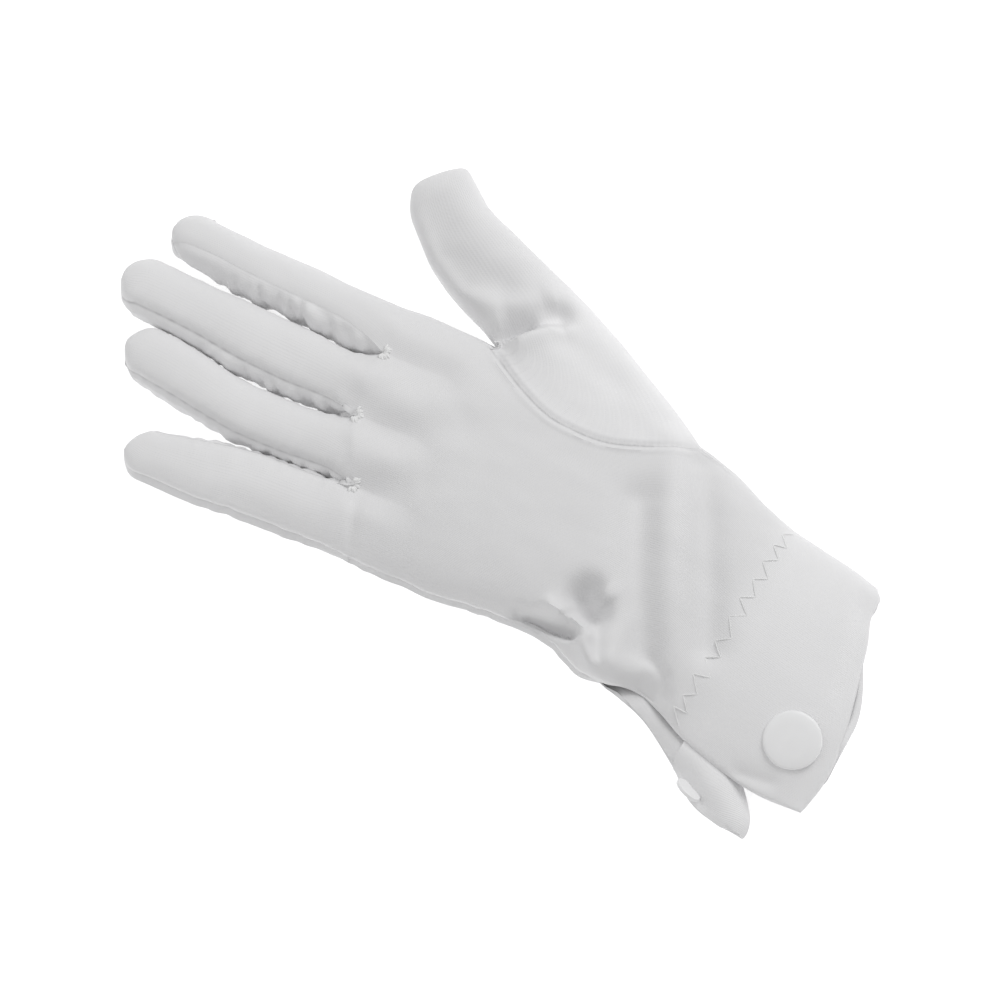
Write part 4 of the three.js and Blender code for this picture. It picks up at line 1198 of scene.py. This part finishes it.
def zigzag_paths(tree, upper, sizes):
    """The zigzag row that holds the doubled cuff, across one layer."""
    swing = sizes.zigzag_reach / (LAYER_LENGTH / ROWS)
    fold, side, _ = station(ZIGZAG["row"], upper)
    count = int(math.dist(fold, side) / (sizes.zigzag_pitch / 2))
    corners = []
    for i in range(count + 1):
        column = mix(ZIGZAG["first"], ZIGZAG["last"], (i + ZIGZAG["uneven"] * uneven(i, 1)) / count)
        row = ZIGZAG["row"] + mix(ZIGZAG["low"], ZIGZAG["high"], i / count)
        row += (swing if i % 2 else -swing) * (1 + ZIGZAG["uneven"] * uneven(i, 2))
        corners.append(trunk_point(clamp(column, 0, FINGERS), row, upper)[:2])
    return [laid_stitch(tree, start, end, upper, sizes.thread_radius)
            for start, end in zip(corners, corners[1:])]


def crotch_paths(tree, sizes):
    """Fans of close thick stitches over the ends of the strips between the fingers."""
    paths = []
    fan, rough = CROTCH_FAN, FAN_UNEVENNESS
    for column in range(1, FINGERS):
        x, y, _ = trunk_point(column, ROWS, True)
        for i in range(fan["stitches"]):
            share = (i + 0.5 + rough["place"] * uneven(i, column)) / fan["stitches"]
            angle = math.radians(mix(fan["first"], fan["last"], share))
            turned = angle + rough["turn"] * uneven(i, 7)
            inner = sizes.crotch_stitch * (fan["inner"] + rough["inner"] * uneven(i, 3 + column))
            outer = sizes.crotch_stitch * (1 + rough["outer"] * uneven(i, 5 + column))
            start, end = ((x + away * math.cos(turned), y + fan["shift"] + away * math.sin(angle))
                          for away in (inner, outer))
            paths.append(laid_stitch(tree, start, end, True, sizes.thread_radius * fan["thick"]))
    return paths


def seat_of(node):
    """Foot, axis, radius and height of a round CAD node, from its own points."""
    places = np.array([vertex.co for vertex in frame["nodes"][node].data.vertices])
    centred = places - places.mean(0)
    axis = np.linalg.svd(centred[:: max(1, len(centred) // 400)], full_matrices=False)[2][2]
    axis = axis if axis[2] > 0 else -axis
    heights = places @ axis
    flat = places - np.outer(heights, axis)
    middle = (flat.max(0) + flat.min(0)) / 2
    radius = np.linalg.norm(flat - middle, axis=1).max()
    return Vector(middle + axis * heights.min()), Vector(axis), float(radius), float(np.ptp(heights))


def turned_disc(name, radius, height, rings, rounding, material):
    """A disc made on the floor of its own space: a cylinder with insets on its top, rounded."""
    bpy.ops.object.select_all(action="DESELECT")
    bpy.ops.mesh.primitive_cylinder_add(vertices=SNAP_SIDES, radius=radius, depth=height,
                                        location=(0, 0, height / 2))
    disc = bpy.context.view_layer.objects.active
    disc.name = disc.data.name = name
    bpy.ops.object.mode_set(mode="EDIT")
    shape = bmesh.from_edit_mesh(disc.data)
    for face in shape.faces:
        face.select_set(face.normal.z > SNAP_TOP_RISE)
    bmesh.update_edit_mesh(disc.data)
    for width, rise in rings:
        bpy.ops.mesh.inset(thickness=width, depth=rise)
    bpy.ops.object.mode_set(mode="OBJECT")
    bevel = disc.modifiers.new("rounded edges", "BEVEL")
    bevel.width = rounding
    bevel.segments = SNAP_BEVEL_SEGMENTS
    bevel.limit_method = "ANGLE"
    bpy.ops.object.modifier_apply(modifier="rounded edges")
    disc.data.materials.append(material)
    bpy.ops.object.shade_smooth_by_angle(angle=SNAP_SMOOTH_ANGLE)
    return disc


def seated(disc, foot, axis, lean, shift):
    """Turns a finished disc onto its seat, leaning over the tongue's edge."""
    axis = Matrix.Rotation(-lean, 3, TONGUE_WAY) @ axis
    turn = Vector((0, 0, 1)).rotation_difference(axis).to_matrix().to_4x4()
    disc.matrix_world = Matrix.Translation(foot + Vector(shift)) @ turn
    choose(disc)
    bpy.ops.object.transform_apply(location=True, rotation=True, scale=True)


def snap_part(part, material):
    """One part of the snap on the seat of its solid; the socket hangs head down."""
    foot, axis, radius, height = seat_of(part["node"])
    disc = turned_disc(part["name"], part["radius"] * radius, part["height"] * height, part["rings"],
                       part["rounding"], material)
    if part["down"]:
        foot, axis = foot + axis * height, -axis
    seated(disc, foot, axis, part["lean"], part["shift"])
    settle(disc, "snap", part["node"])


def value_group(name, inputs, outputs):
    """An empty node group with float inputs and outputs, and its two end nodes."""
    group = bpy.data.node_groups.new(name, "ShaderNodeTree")
    for label, kind, default in inputs:
        socket = group.interface.new_socket(label, in_out="INPUT", socket_type=kind)
        if default is not None:
            socket.default_value = default
    for label, kind in outputs:
        group.interface.new_socket(label, in_out="OUTPUT", socket_type=kind)
    return group, group.nodes.new("NodeGroupInput"), group.nodes.new("NodeGroupOutput")


def operate(tree, operation, a, b=None):
    """A math node; a and b are sockets or numbers."""
    node = tree.nodes.new("ShaderNodeMath")
    node.operation = operation
    for socket, value in zip(node.inputs, (a, b)):
        if value is None:
            continue
        if isinstance(value, (int, float)):
            socket.default_value = value
        else:
            tree.links.new(value, socket)
    return node.outputs[0]


def multiply(tree, a, b):
    """The product of two sockets or numbers."""
    return operate(tree, "MULTIPLY", a, b)


def turns(tree, length, pitch):
    """The angle of a wave at a length, for a pitch."""
    return multiply(tree, operate(tree, "DIVIDE", length, pitch), 2 * math.pi)


def knit_group():
    """Fine knitted loops: wales along the cloth and courses across it; Shade sets the painted shade between
    the loops.
    """
    group, start, end = value_group(
        "Knitted loops",
        (("Place", "NodeSocketVector", None), ("Wale", "NodeSocketFloat", 0.0009),
         ("Course", "NodeSocketFloat", 0.0007)),
        (("Height", "NodeSocketFloat"), ("Shade", "NodeSocketFloat")))
    parts = group.nodes.new("ShaderNodeSeparateXYZ")
    group.links.new(start.outputs["Place"], parts.inputs[0])
    across = turns(group, parts.outputs[0], start.outputs["Wale"])
    course = operate(group, "SINE", turns(group, parts.outputs[1], start.outputs["Course"]))
    wale = operate(group, "SINE", operate(group, "ADD", across, multiply(group, course, WALE_WOBBLE)))
    loops = multiply(group, course, operate(group, "SINE", multiply(group, across, 0.5)))
    height = operate(group, "ADD", multiply(group, wale, WALE_WEIGHT),
                     multiply(group, loops, LOOP_WEIGHT))
    group.links.new(height, end.inputs["Height"])
    shade = multiply(group, operate(group, "ADD", height, 1.0), 0.5)
    group.links.new(shade, end.inputs["Shade"])
    return group


def seam_group():
    """The line of painted shade along a sewn seam and the small pull of its stitches."""
    group, start, end = value_group(
        "Sewn seam",
        (("Distance", "NodeSocketFloat", 1.0), ("Length", "NodeSocketFloat", 0.0),
         ("Line", "NodeSocketFloat", 0.0004), ("Pitch", "NodeSocketFloat", 0.0021)),
        (("Line", "NodeSocketFloat"), ("Pull", "NodeSocketFloat")))
    near = operate(group, "DIVIDE", start.outputs["Distance"], start.outputs["Line"])
    line = operate(group, "EXPONENT", multiply(group, multiply(group, near, near), -1.0))
    group.links.new(line, end.inputs["Line"])
    stitches = operate(group, "SINE", turns(group, start.outputs["Length"], start.outputs["Pitch"]))
    fade = operate(group, "EXPONENT", multiply(group, start.outputs["Distance"], SEAM_PULL_FALL))
    group.links.new(multiply(group, stitches, fade), end.inputs["Pull"])
    return group


def shader(name, color, sockets):
    """A material whose constants stand on the shader's own sockets."""
    material = bpy.data.materials.new(name)
    material.use_nodes = True
    surface = material.node_tree.nodes["Principled BSDF"]
    surface.inputs["Base Color"].default_value = (*color, 1.0)
    for label, value in sockets.items():
        surface.inputs[label].default_value = value
    return material, material.node_tree, surface


def place_group(tree, group, **values):
    """A node group in a material, with its own values."""
    node = tree.nodes.new("ShaderNodeGroup")
    node.node_tree = group
    for label, value in values.items():
        if isinstance(value, (int, float)):
            node.inputs[label].default_value = value
        else:
            tree.links.new(value, node.inputs[label])
    return node


def shade_of(color, share):
    """A darker tone of a colour."""
    return tuple(share * value for value in color)


def blended(tree, share, color, other):
    """A mix of two colours by a share socket."""
    node = tree.nodes.new("ShaderNodeMix")
    node.data_type = "RGBA"
    tree.links.new(share, node.inputs["Factor"])
    for socket, value in ((node.inputs[6], color), (node.inputs[7], other)):
        if isinstance(value, tuple):
            socket.default_value = (*value, 1.0)
        else:
            tree.links.new(value, socket)
    return node.outputs[2]


def texture(tree, kind, scale, **settings):
    """A texture's values on the piece's own coordinates."""
    space = tree.nodes.new("ShaderNodeTexCoord")
    node = tree.nodes.new(kind)
    node.inputs["Scale"].default_value = scale
    for label, value in settings.items():
        node.inputs[label].default_value = value
    tree.links.new(space.outputs["Object"], node.inputs["Vector"])
    return node


def ramp(tree, place, stops):
    """A grey ramp over stops of place and tone."""
    node = tree.nodes.new("ShaderNodeValToRGB")
    elements = node.color_ramp.elements
    for at, _ in stops[1:-1]:
        elements.new(at)
    elements[-1].position = stops[-1][0]
    for element, (_, tone) in zip(elements, stops):
        element.color = (tone, tone, tone, 1)
    tree.links.new(place, node.inputs["Fac"])
    return node.outputs["Color"]


def bump(tree, surface, height, distance, strength=1.0):
    """Relief on a surface from a height socket."""
    node = tree.nodes.new("ShaderNodeBump")
    node.inputs["Distance"].default_value = distance
    node.inputs["Strength"].default_value = strength
    tree.links.new(height, node.inputs["Height"])
    tree.links.new(node.outputs["Normal"], surface.inputs["Normal"])


def knitted_cloth(name, finish, wale, turn=0.0):
    """White knitted cloth: loops, uneven tone, painted shade between the loops, over the palm's single cloth
    and along the lines of its seams.
    """
    color = tuple(finish.cloth_color)
    material, tree, surface = shader(name, color, CLOTH_SHADER)
    cut = tree.nodes.new("ShaderNodeUVMap")
    cut.uv_map = "cut"
    laid = tree.nodes.new("ShaderNodeMapping")
    laid.inputs["Rotation"].default_value[2] = turn
    tree.links.new(cut.outputs["UV"], laid.inputs["Vector"])
    groups = bpy.data.node_groups
    loops = place_group(tree, groups["Knitted loops"], Place=laid.outputs["Vector"],
                        Wale=wale, Course=wale * COURSE_SHARE)
    readings = {}
    for label in ("seam_distance", "seam_length"):
        reading = tree.nodes.new("ShaderNodeAttribute")
        reading.attribute_name = label
        readings[label] = reading.outputs["Fac"]
    seam = place_group(tree, groups["Sewn seam"], Distance=readings["seam_distance"],
                       Length=readings["seam_length"])

    # Tone of the painted shade along the seams and between the loops
    shaded = shade_of(color, SHADED_CLOTH)
    tone = texture(tree, "ShaderNodeTexNoise", TONE_SCALE, Detail=3.0)
    toned = blended(tree, tone.outputs["Fac"], shade_of(color, DULL_CLOTH), color)
    place = tree.nodes.new("ShaderNodeSeparateXYZ")
    tree.links.new(cut.outputs["UV"], place.inputs[0])
    # Painted shade: the palm's single cloth is drawn darker than the doubled cuff and the fingers, for the
    # hollow behind it
    hollow_shade = ramp(tree, multiply(tree, place.outputs[1], HOLLOW_SHADE_SCALE), HOLLOW_SHADE_SHARES)
    toned = blended(tree, hollow_shade, shade_of(color, finish.hollow_shade_share), toned)
    # Painted shade between the knitted loops
    between = multiply(tree, operate(tree, "SUBTRACT", 1.0, loops.outputs["Shade"]), KNIT_SHADE)
    knitted = blended(tree, between, toned, shaded)
    # Painted shade along the seams' lines
    lined = blended(tree, multiply(tree, seam.outputs["Line"], SEAM_SHADE), knitted, shaded)
    tree.links.new(lined, surface.inputs["Base Color"])

    height = operate(tree, "ADD", loops.outputs["Height"],
                     multiply(tree, seam.outputs["Pull"], SEAM_PULL))
    fuzz = texture(tree, "ShaderNodeTexNoise", FUZZ_SCALE)
    bump(tree, surface, operate(tree, "ADD", height, fuzz.outputs["Fac"]), finish.relief,
         CLOTH_RELIEF_STRENGTH)
    return material


def sewing_thread(name, finish):
    """White twisted thread, brighter and a little smoother than the cloth, with painted shade in the grooves
    of its twist.
    """
    color = tuple(finish.thread_color)
    material, tree, surface = shader(name, color, THREAD_SHADER)
    twist = texture(tree, "ShaderNodeTexWave", TWIST_SCALE)
    twist.bands_direction = "DIAGONAL"
    # Painted shade: the low bands of the twist are drawn darker
    toned = blended(tree, twist.outputs["Fac"], shade_of(color, THREAD_GROOVE_SHADE), color)
    tree.links.new(toned, surface.inputs["Base Color"])
    bump(tree, surface, twist.outputs["Fac"], THREAD_RELIEF, THREAD_RELIEF_STRENGTH)
    return material


def snap_enamel(name, finish):
    """Satin white moulded snap with faint clouding of its tone, gloss and relief."""
    color = tuple(finish.snap_color)
    material, tree, surface = shader(name, color, SNAP_SHADER)
    cloud = texture(tree, "ShaderNodeTexNoise", CLOUD_SCALE, Detail=4.0)
    toned = blended(tree, cloud.outputs["Fac"], shade_of(color, DULL_SNAP), color)
    tree.links.new(toned, surface.inputs["Base Color"])
    least, spread_of_gloss = SNAP_ROUGHNESS
    rough = operate(tree, "ADD", multiply(tree, cloud.outputs["Fac"], spread_of_gloss), least)
    tree.links.new(rough, surface.inputs["Roughness"])
    bump(tree, surface, cloud.outputs["Fac"], SNAP_RELIEF)
    return material


def finish_of(maker, name, *extra):
    """A material by name, made the first time that it is asked for."""
    finish = bpy.context.scene.glove_finish
    if not bpy.data.node_groups.get("Knitted loops"):
        knit_group()
        seam_group()
    return bpy.data.materials.get(name) or maker(name, finish, *extra)


def palm_cloth():
    """The cloth of the trank, the strips and the facings."""
    return finish_of(knitted_cloth, "white tricot", bpy.context.scene.glove_finish.wale)


def skin_ready():
    """The dressed skin, made the first time that it is asked for."""
    return SKIN or dressed_skin(bpy.context.scene.glove_cloth)


def aimed(thing, way):
    """Turns a camera or light so that it looks along a way."""
    thing.rotation_mode = "QUATERNION"
    thing.rotation_quaternion = way.to_track_quat("-Z", "Y")


def add_lamp(name, target, offset, size, power):
    """A square soft light at an offset from the point that it shines on."""
    bpy.ops.object.light_add(type="AREA", location=target + offset)
    lamp = bpy.context.view_layer.objects.active
    lamp.name = name
    lamp.data.size = size
    lamp.data.energy = power
    aimed(lamp, -offset)


class GloveCloth(bpy.types.PropertyGroup):
    """Sizes of the cloth and of its seams."""

    wall: bpy.props.FloatProperty(
        name="Cloth", description="Thickness of the cloth", default=0.0011, unit="LENGTH", precision=5)
    facing_wall: bpy.props.FloatProperty(
        name="Facing", description="Thickness of the cloth inside the cuff", default=0.0009,
        unit="LENGTH", precision=5)
    facing_inset: bpy.props.FloatProperty(
        name="Facing inset", description="How far the facing lies inside the outer cloth",
        default=0.0014, unit="LENGTH", precision=5)
    seam_depth: bpy.props.FloatProperty(
        name="Seam depth", description="How far a seam draws the cloth in", default=0.0008,
        unit="LENGTH", precision=5)
    seam_width: bpy.props.FloatProperty(
        name="Seam width", description="Half width of the groove at a seam", default=0.0011,
        unit="LENGTH", precision=5)
    seam_rim: bpy.props.FloatProperty(
        name="Seam rim", description="How far the back stands out below the side seam",
        default=0.0011, unit="LENGTH", precision=5)
    pucker: bpy.props.FloatProperty(
        name="Puckers", description="Strength of the waves along the seams", default=1.0, min=0.0)
    strip_ripple: bpy.props.FloatProperty(
        name="Strip ripple", description="Height of the gathers in the strips between the fingers",
        default=0.0012, unit="LENGTH", precision=5)
    unevenness: bpy.props.FloatProperty(
        name="Unevenness", description="Height of the soft unevenness of the cloth",
        default=0.00035, unit="LENGTH", precision=5)


class GloveThreads(bpy.types.PropertyGroup):
    """Sizes of the threads that show."""

    thread_radius: bpy.props.FloatProperty(
        name="Thread", description="Radius of the thread", default=0.00019, unit="LENGTH", precision=5)
    zigzag_pitch: bpy.props.FloatProperty(
        name="Zigzag pitch", description="Distance between two turns of the zigzag row",
        default=0.0062, unit="LENGTH", precision=4)
    zigzag_reach: bpy.props.FloatProperty(
        name="Zigzag reach", description="How far the zigzag row swings to each side",
        default=0.0024, unit="LENGTH", precision=4)
    crotch_stitch: bpy.props.FloatProperty(
        name="Crotch stitch", description="Length of the close stitches between the fingers",
        default=0.0024, unit="LENGTH", precision=4)


class GloveFinish(bpy.types.PropertyGroup):
    """Colours and grain of the finishes."""

    cloth_color: bpy.props.FloatVectorProperty(
        name="Cloth colour", description="Colour of the knitted cloth", subtype="COLOR",
        default=(0.84, 0.838, 0.845), min=0, max=1)
    # Painted shade: how dark the palm's single cloth is drawn beside the doubled cuff, for the hollow behind
    # it
    hollow_shade_share: bpy.props.FloatProperty(
        name="Single cloth", description="How light single cloth is beside doubled cloth",
        default=0.9, min=0, max=1)
    thread_color: bpy.props.FloatVectorProperty(
        name="Thread colour", description="Colour of the sewing thread", subtype="COLOR",
        default=(0.90, 0.90, 0.90), min=0, max=1)
    snap_color: bpy.props.FloatVectorProperty(
        name="Snap colour", description="Colour of the snap", subtype="COLOR",
        default=(0.87, 0.87, 0.875), min=0, max=1)
    wale: bpy.props.FloatProperty(
        name="Wale", description="Distance between two rows of loops", default=0.00055,
        unit="LENGTH", precision=5)
    thumb_wale: bpy.props.FloatProperty(
        name="Thumb wale", description="Distance between the ribs that show on the thumb",
        default=0.00085, unit="LENGTH", precision=5)
    relief: bpy.props.FloatProperty(
        name="Relief", description="Height of the loops", default=0.00005,
        unit="LENGTH", precision=5)


class GloveStage(bpy.types.PropertyGroup):
    """The view, the light and the floor."""

    elevation: bpy.props.FloatProperty(
        name="Elevation", description="Height of the camera above the horizon",
        default=math.radians(72), subtype="ANGLE")
    azimuth: bpy.props.FloatProperty(
        name="Azimuth", description="Turn of the camera round the glove",
        default=math.radians(-62), subtype="ANGLE")
    distance: bpy.props.FloatProperty(
        name="Distance", description="From the camera to the point that it looks at",
        default=1.0, unit="LENGTH")
    lens: bpy.props.FloatProperty(
        name="Lens", description="Focal length in millimetres", default=121.9)
    target: bpy.props.FloatVectorProperty(
        name="Target", description="Point on the floor that the camera looks at",
        default=(-0.0097, 0.0047, 0.0), unit="LENGTH", precision=4)
    key_power: bpy.props.FloatProperty(
        name="Key light", description="Power of the large soft light", default=7.4)
    fill_power: bpy.props.FloatProperty(
        name="Fill light", description="Power of the light on the other side", default=3.6)
    world: bpy.props.FloatProperty(
        name="Surroundings", description="Strength of the even light all round", default=0.45)


class GLOVE_OT_trank(bpy.types.Operator):
    """Cut the one-piece palm and back, folded on the index side"""

    bl_idname = "glove.trank"
    bl_label = "Make trank"

    def execute(self, context):
        skin_ready()
        cloth = context.scene.glove_cloth
        trank = cloth_piece("trank", ("palm_cuff", "palm", "back_cuff", "back"), cloth.wall,
                            palm_cloth())
        settle(trank, "tricot", "palm_panel", "back_panel")
        return {"FINISHED"}


class GLOVE_OT_fourchettes(bpy.types.Operator):
    """Cut the three strips between the fingers"""

    bl_idname = "glove.fourchettes"
    bl_label = "Make fourchettes"

    def execute(self, context):
        skin_ready()
        cloth = context.scene.glove_cloth
        names = [finger["name"] for finger in FINGER_TABLES]
        for number in range(FINGERS - 1):
            name = f"fourchette_{names[number]}_{names[number + 1]}"
            strip = cloth_piece(f"{name}_cloth", (f"fork_{number}",), cloth.wall,
                                palm_cloth())
            settle(strip, "tricot", name)
        return {"FINISHED"}


class GLOVE_OT_thumb(bpy.types.Operator):
    """Cut the thumb, sewn into its hole in the trank"""

    bl_idname = "glove.thumb"
    bl_label = "Make thumb"

    def execute(self, context):
        skin_ready()
        cloth = context.scene.glove_cloth
        ribbed = finish_of(knitted_cloth, "white tricot thumb", context.scene.glove_finish.thumb_wale,
                           THUMB_RIB_TURN)
        thumb = cloth_piece("thumb_cloth", ("thumb",), cloth.wall, ribbed)
        settle(thumb, "tricot", "thumb_stall")
        return {"FINISHED"}


class GLOVE_OT_facings(bpy.types.Operator):
    """Cut the doubled cloth inside the cuff"""

    bl_idname = "glove.facings"
    bl_label = "Make facings"

    def execute(self, context):
        skin_ready()
        cloth = context.scene.glove_cloth
        for layer, area in (("palm", 0.0026), ("back", 0.0029)):
            facing = cloth_piece(f"{layer}_facing_cloth", (f"{layer}_cuff",), cloth.facing_wall,
                                 palm_cloth(), cloth.facing_inset)
            settle(facing, "facing", f"{layer}_facing")
        return {"FINISHED"}


class GLOVE_OT_snaps(bpy.types.Operator):
    """Turn the snap's cap, socket and stud and seat them on the cuff"""

    bl_idname = "glove.snaps"
    bl_label = "Make snap"

    def execute(self, context):
        enamel = finish_of(snap_enamel, "white snap")
        for part in SNAP_PARTS:
            snap_part(part, enamel)
        return {"FINISHED"}


class GLOVE_OT_stitches(bpy.types.Operator):
    """Sew the zigzag row at the wrist and the close stitches between the fingers"""

    bl_idname = "glove.stitches"
    bl_label = "Make stitches"

    def execute(self, context):
        sizes = context.scene.glove_threads
        thread = finish_of(sewing_thread, "white thread")
        tree = cloth_tree("trank")
        for layer, upper in (("palm", True), ("back", False)):
            row = threads(f"zigzag_{layer}", zigzag_paths(tree, upper, sizes), sizes.thread_radius, thread)
            settle(row, "tricot")
        radius = sizes.thread_radius * CROTCH_FAN["thick"]
        fans = threads("crotch_stitches", crotch_paths(tree, sizes), radius, thread)
        settle(fans, "tricot")
        return {"FINISHED"}


class GLOVE_OT_stage(bpy.types.Operator):
    """Set the floor, the lights and the camera"""

    bl_idname = "glove.stage"
    bl_label = "Make stage"

    def execute(self, context):
        stage = context.scene.glove_stage
        bpy.ops.object.select_all(action="DESELECT")
        bpy.ops.mesh.primitive_plane_add(size=FLOOR_SIZE, location=(0, 0, 0))
        floor = context.view_layer.objects.active
        floor.name = "floor"
        floor.data.materials.append(shader("pale floor", FLOOR_COLOR, FLOOR_SHADER)[0])

        target = Vector(stage.target)
        ahead = Vector((-math.sin(stage.azimuth), math.cos(stage.azimuth), 0))
        right = Vector((ahead.y, -ahead.x, 0))
        up = Vector((0, 0, 1))
        back = up * math.sin(stage.elevation) - ahead * math.cos(stage.elevation)
        bpy.ops.object.camera_add(location=target + back * stage.distance)
        camera = context.view_layer.objects.active
        aimed(camera, -back)
        camera.data.lens = stage.lens
        camera.data.sensor_width = FILM_WIDTH
        camera.data.clip_start = CLIP_START
        context.scene.camera = camera

        key = (ahead + right).normalized() * KEY_LIGHT["away"] + up * KEY_LIGHT["height"]
        add_lamp("key light", target, key, KEY_LIGHT["size"], stage.key_power)
        fill = up * FILL_LIGHT["height"] - right * FILL_LIGHT["aside"] - ahead * FILL_LIGHT["behind"]
        add_lamp("fill light", target, fill, FILL_LIGHT["size"], stage.fill_power)
        world = bpy.data.worlds.new("even light")
        context.scene.world = world
        world.use_nodes = True
        sky = world.node_tree.nodes["Background"]
        sky.inputs["Color"].default_value = (1, 1, 1, 1)
        sky.inputs["Strength"].default_value = stage.world
        context.scene.view_settings.view_transform = "Standard"
        return {"FINISHED"}


MAKERS = (GLOVE_OT_trank, GLOVE_OT_fourchettes, GLOVE_OT_thumb, GLOVE_OT_facings, GLOVE_OT_snaps,
          GLOVE_OT_stitches, GLOVE_OT_stage)
SETTINGS = {"glove_cloth": GloveCloth, "glove_threads": GloveThreads, "glove_finish": GloveFinish,
            "glove_stage": GloveStage}


class GLOVE_PT_panel(bpy.types.Panel):
    """The glove's sizes and its makers"""

    bl_label = "White Parade Glove"
    bl_idname = "GLOVE_PT_panel"
    bl_space_type = "VIEW_3D"
    bl_region_type = "UI"
    bl_category = "Glove"

    def draw(self, context):
        for label, group in SETTINGS.items():
            box = self.layout.box()
            box.label(text=label.split("_")[1].title())
            for name in group.__annotations__:
                box.prop(getattr(context.scene, label), name)
        for maker in MAKERS:
            self.layout.operator(maker.bl_idname)


def register():
    for each in (*SETTINGS.values(), *MAKERS, GLOVE_PT_panel):
        bpy.utils.register_class(each)
    for label, group in SETTINGS.items():
        setattr(bpy.types.Scene, label, bpy.props.PointerProperty(type=group))


def unregister():
    for label in SETTINGS:
        delattr(bpy.types.Scene, label)
    for each in reversed((*SETTINGS.values(), *MAKERS, GLOVE_PT_panel)):
        bpy.utils.unregister_class(each)


def main():
    register()
    bpy.ops.glove.trank()
    bpy.ops.glove.fourchettes()
    bpy.ops.glove.thumb()
    bpy.ops.glove.facings()
    bpy.ops.glove.snaps()
    bpy.ops.glove.stitches()
    bpy.ops.glove.stage()


if __name__ == "__main__":
    main()
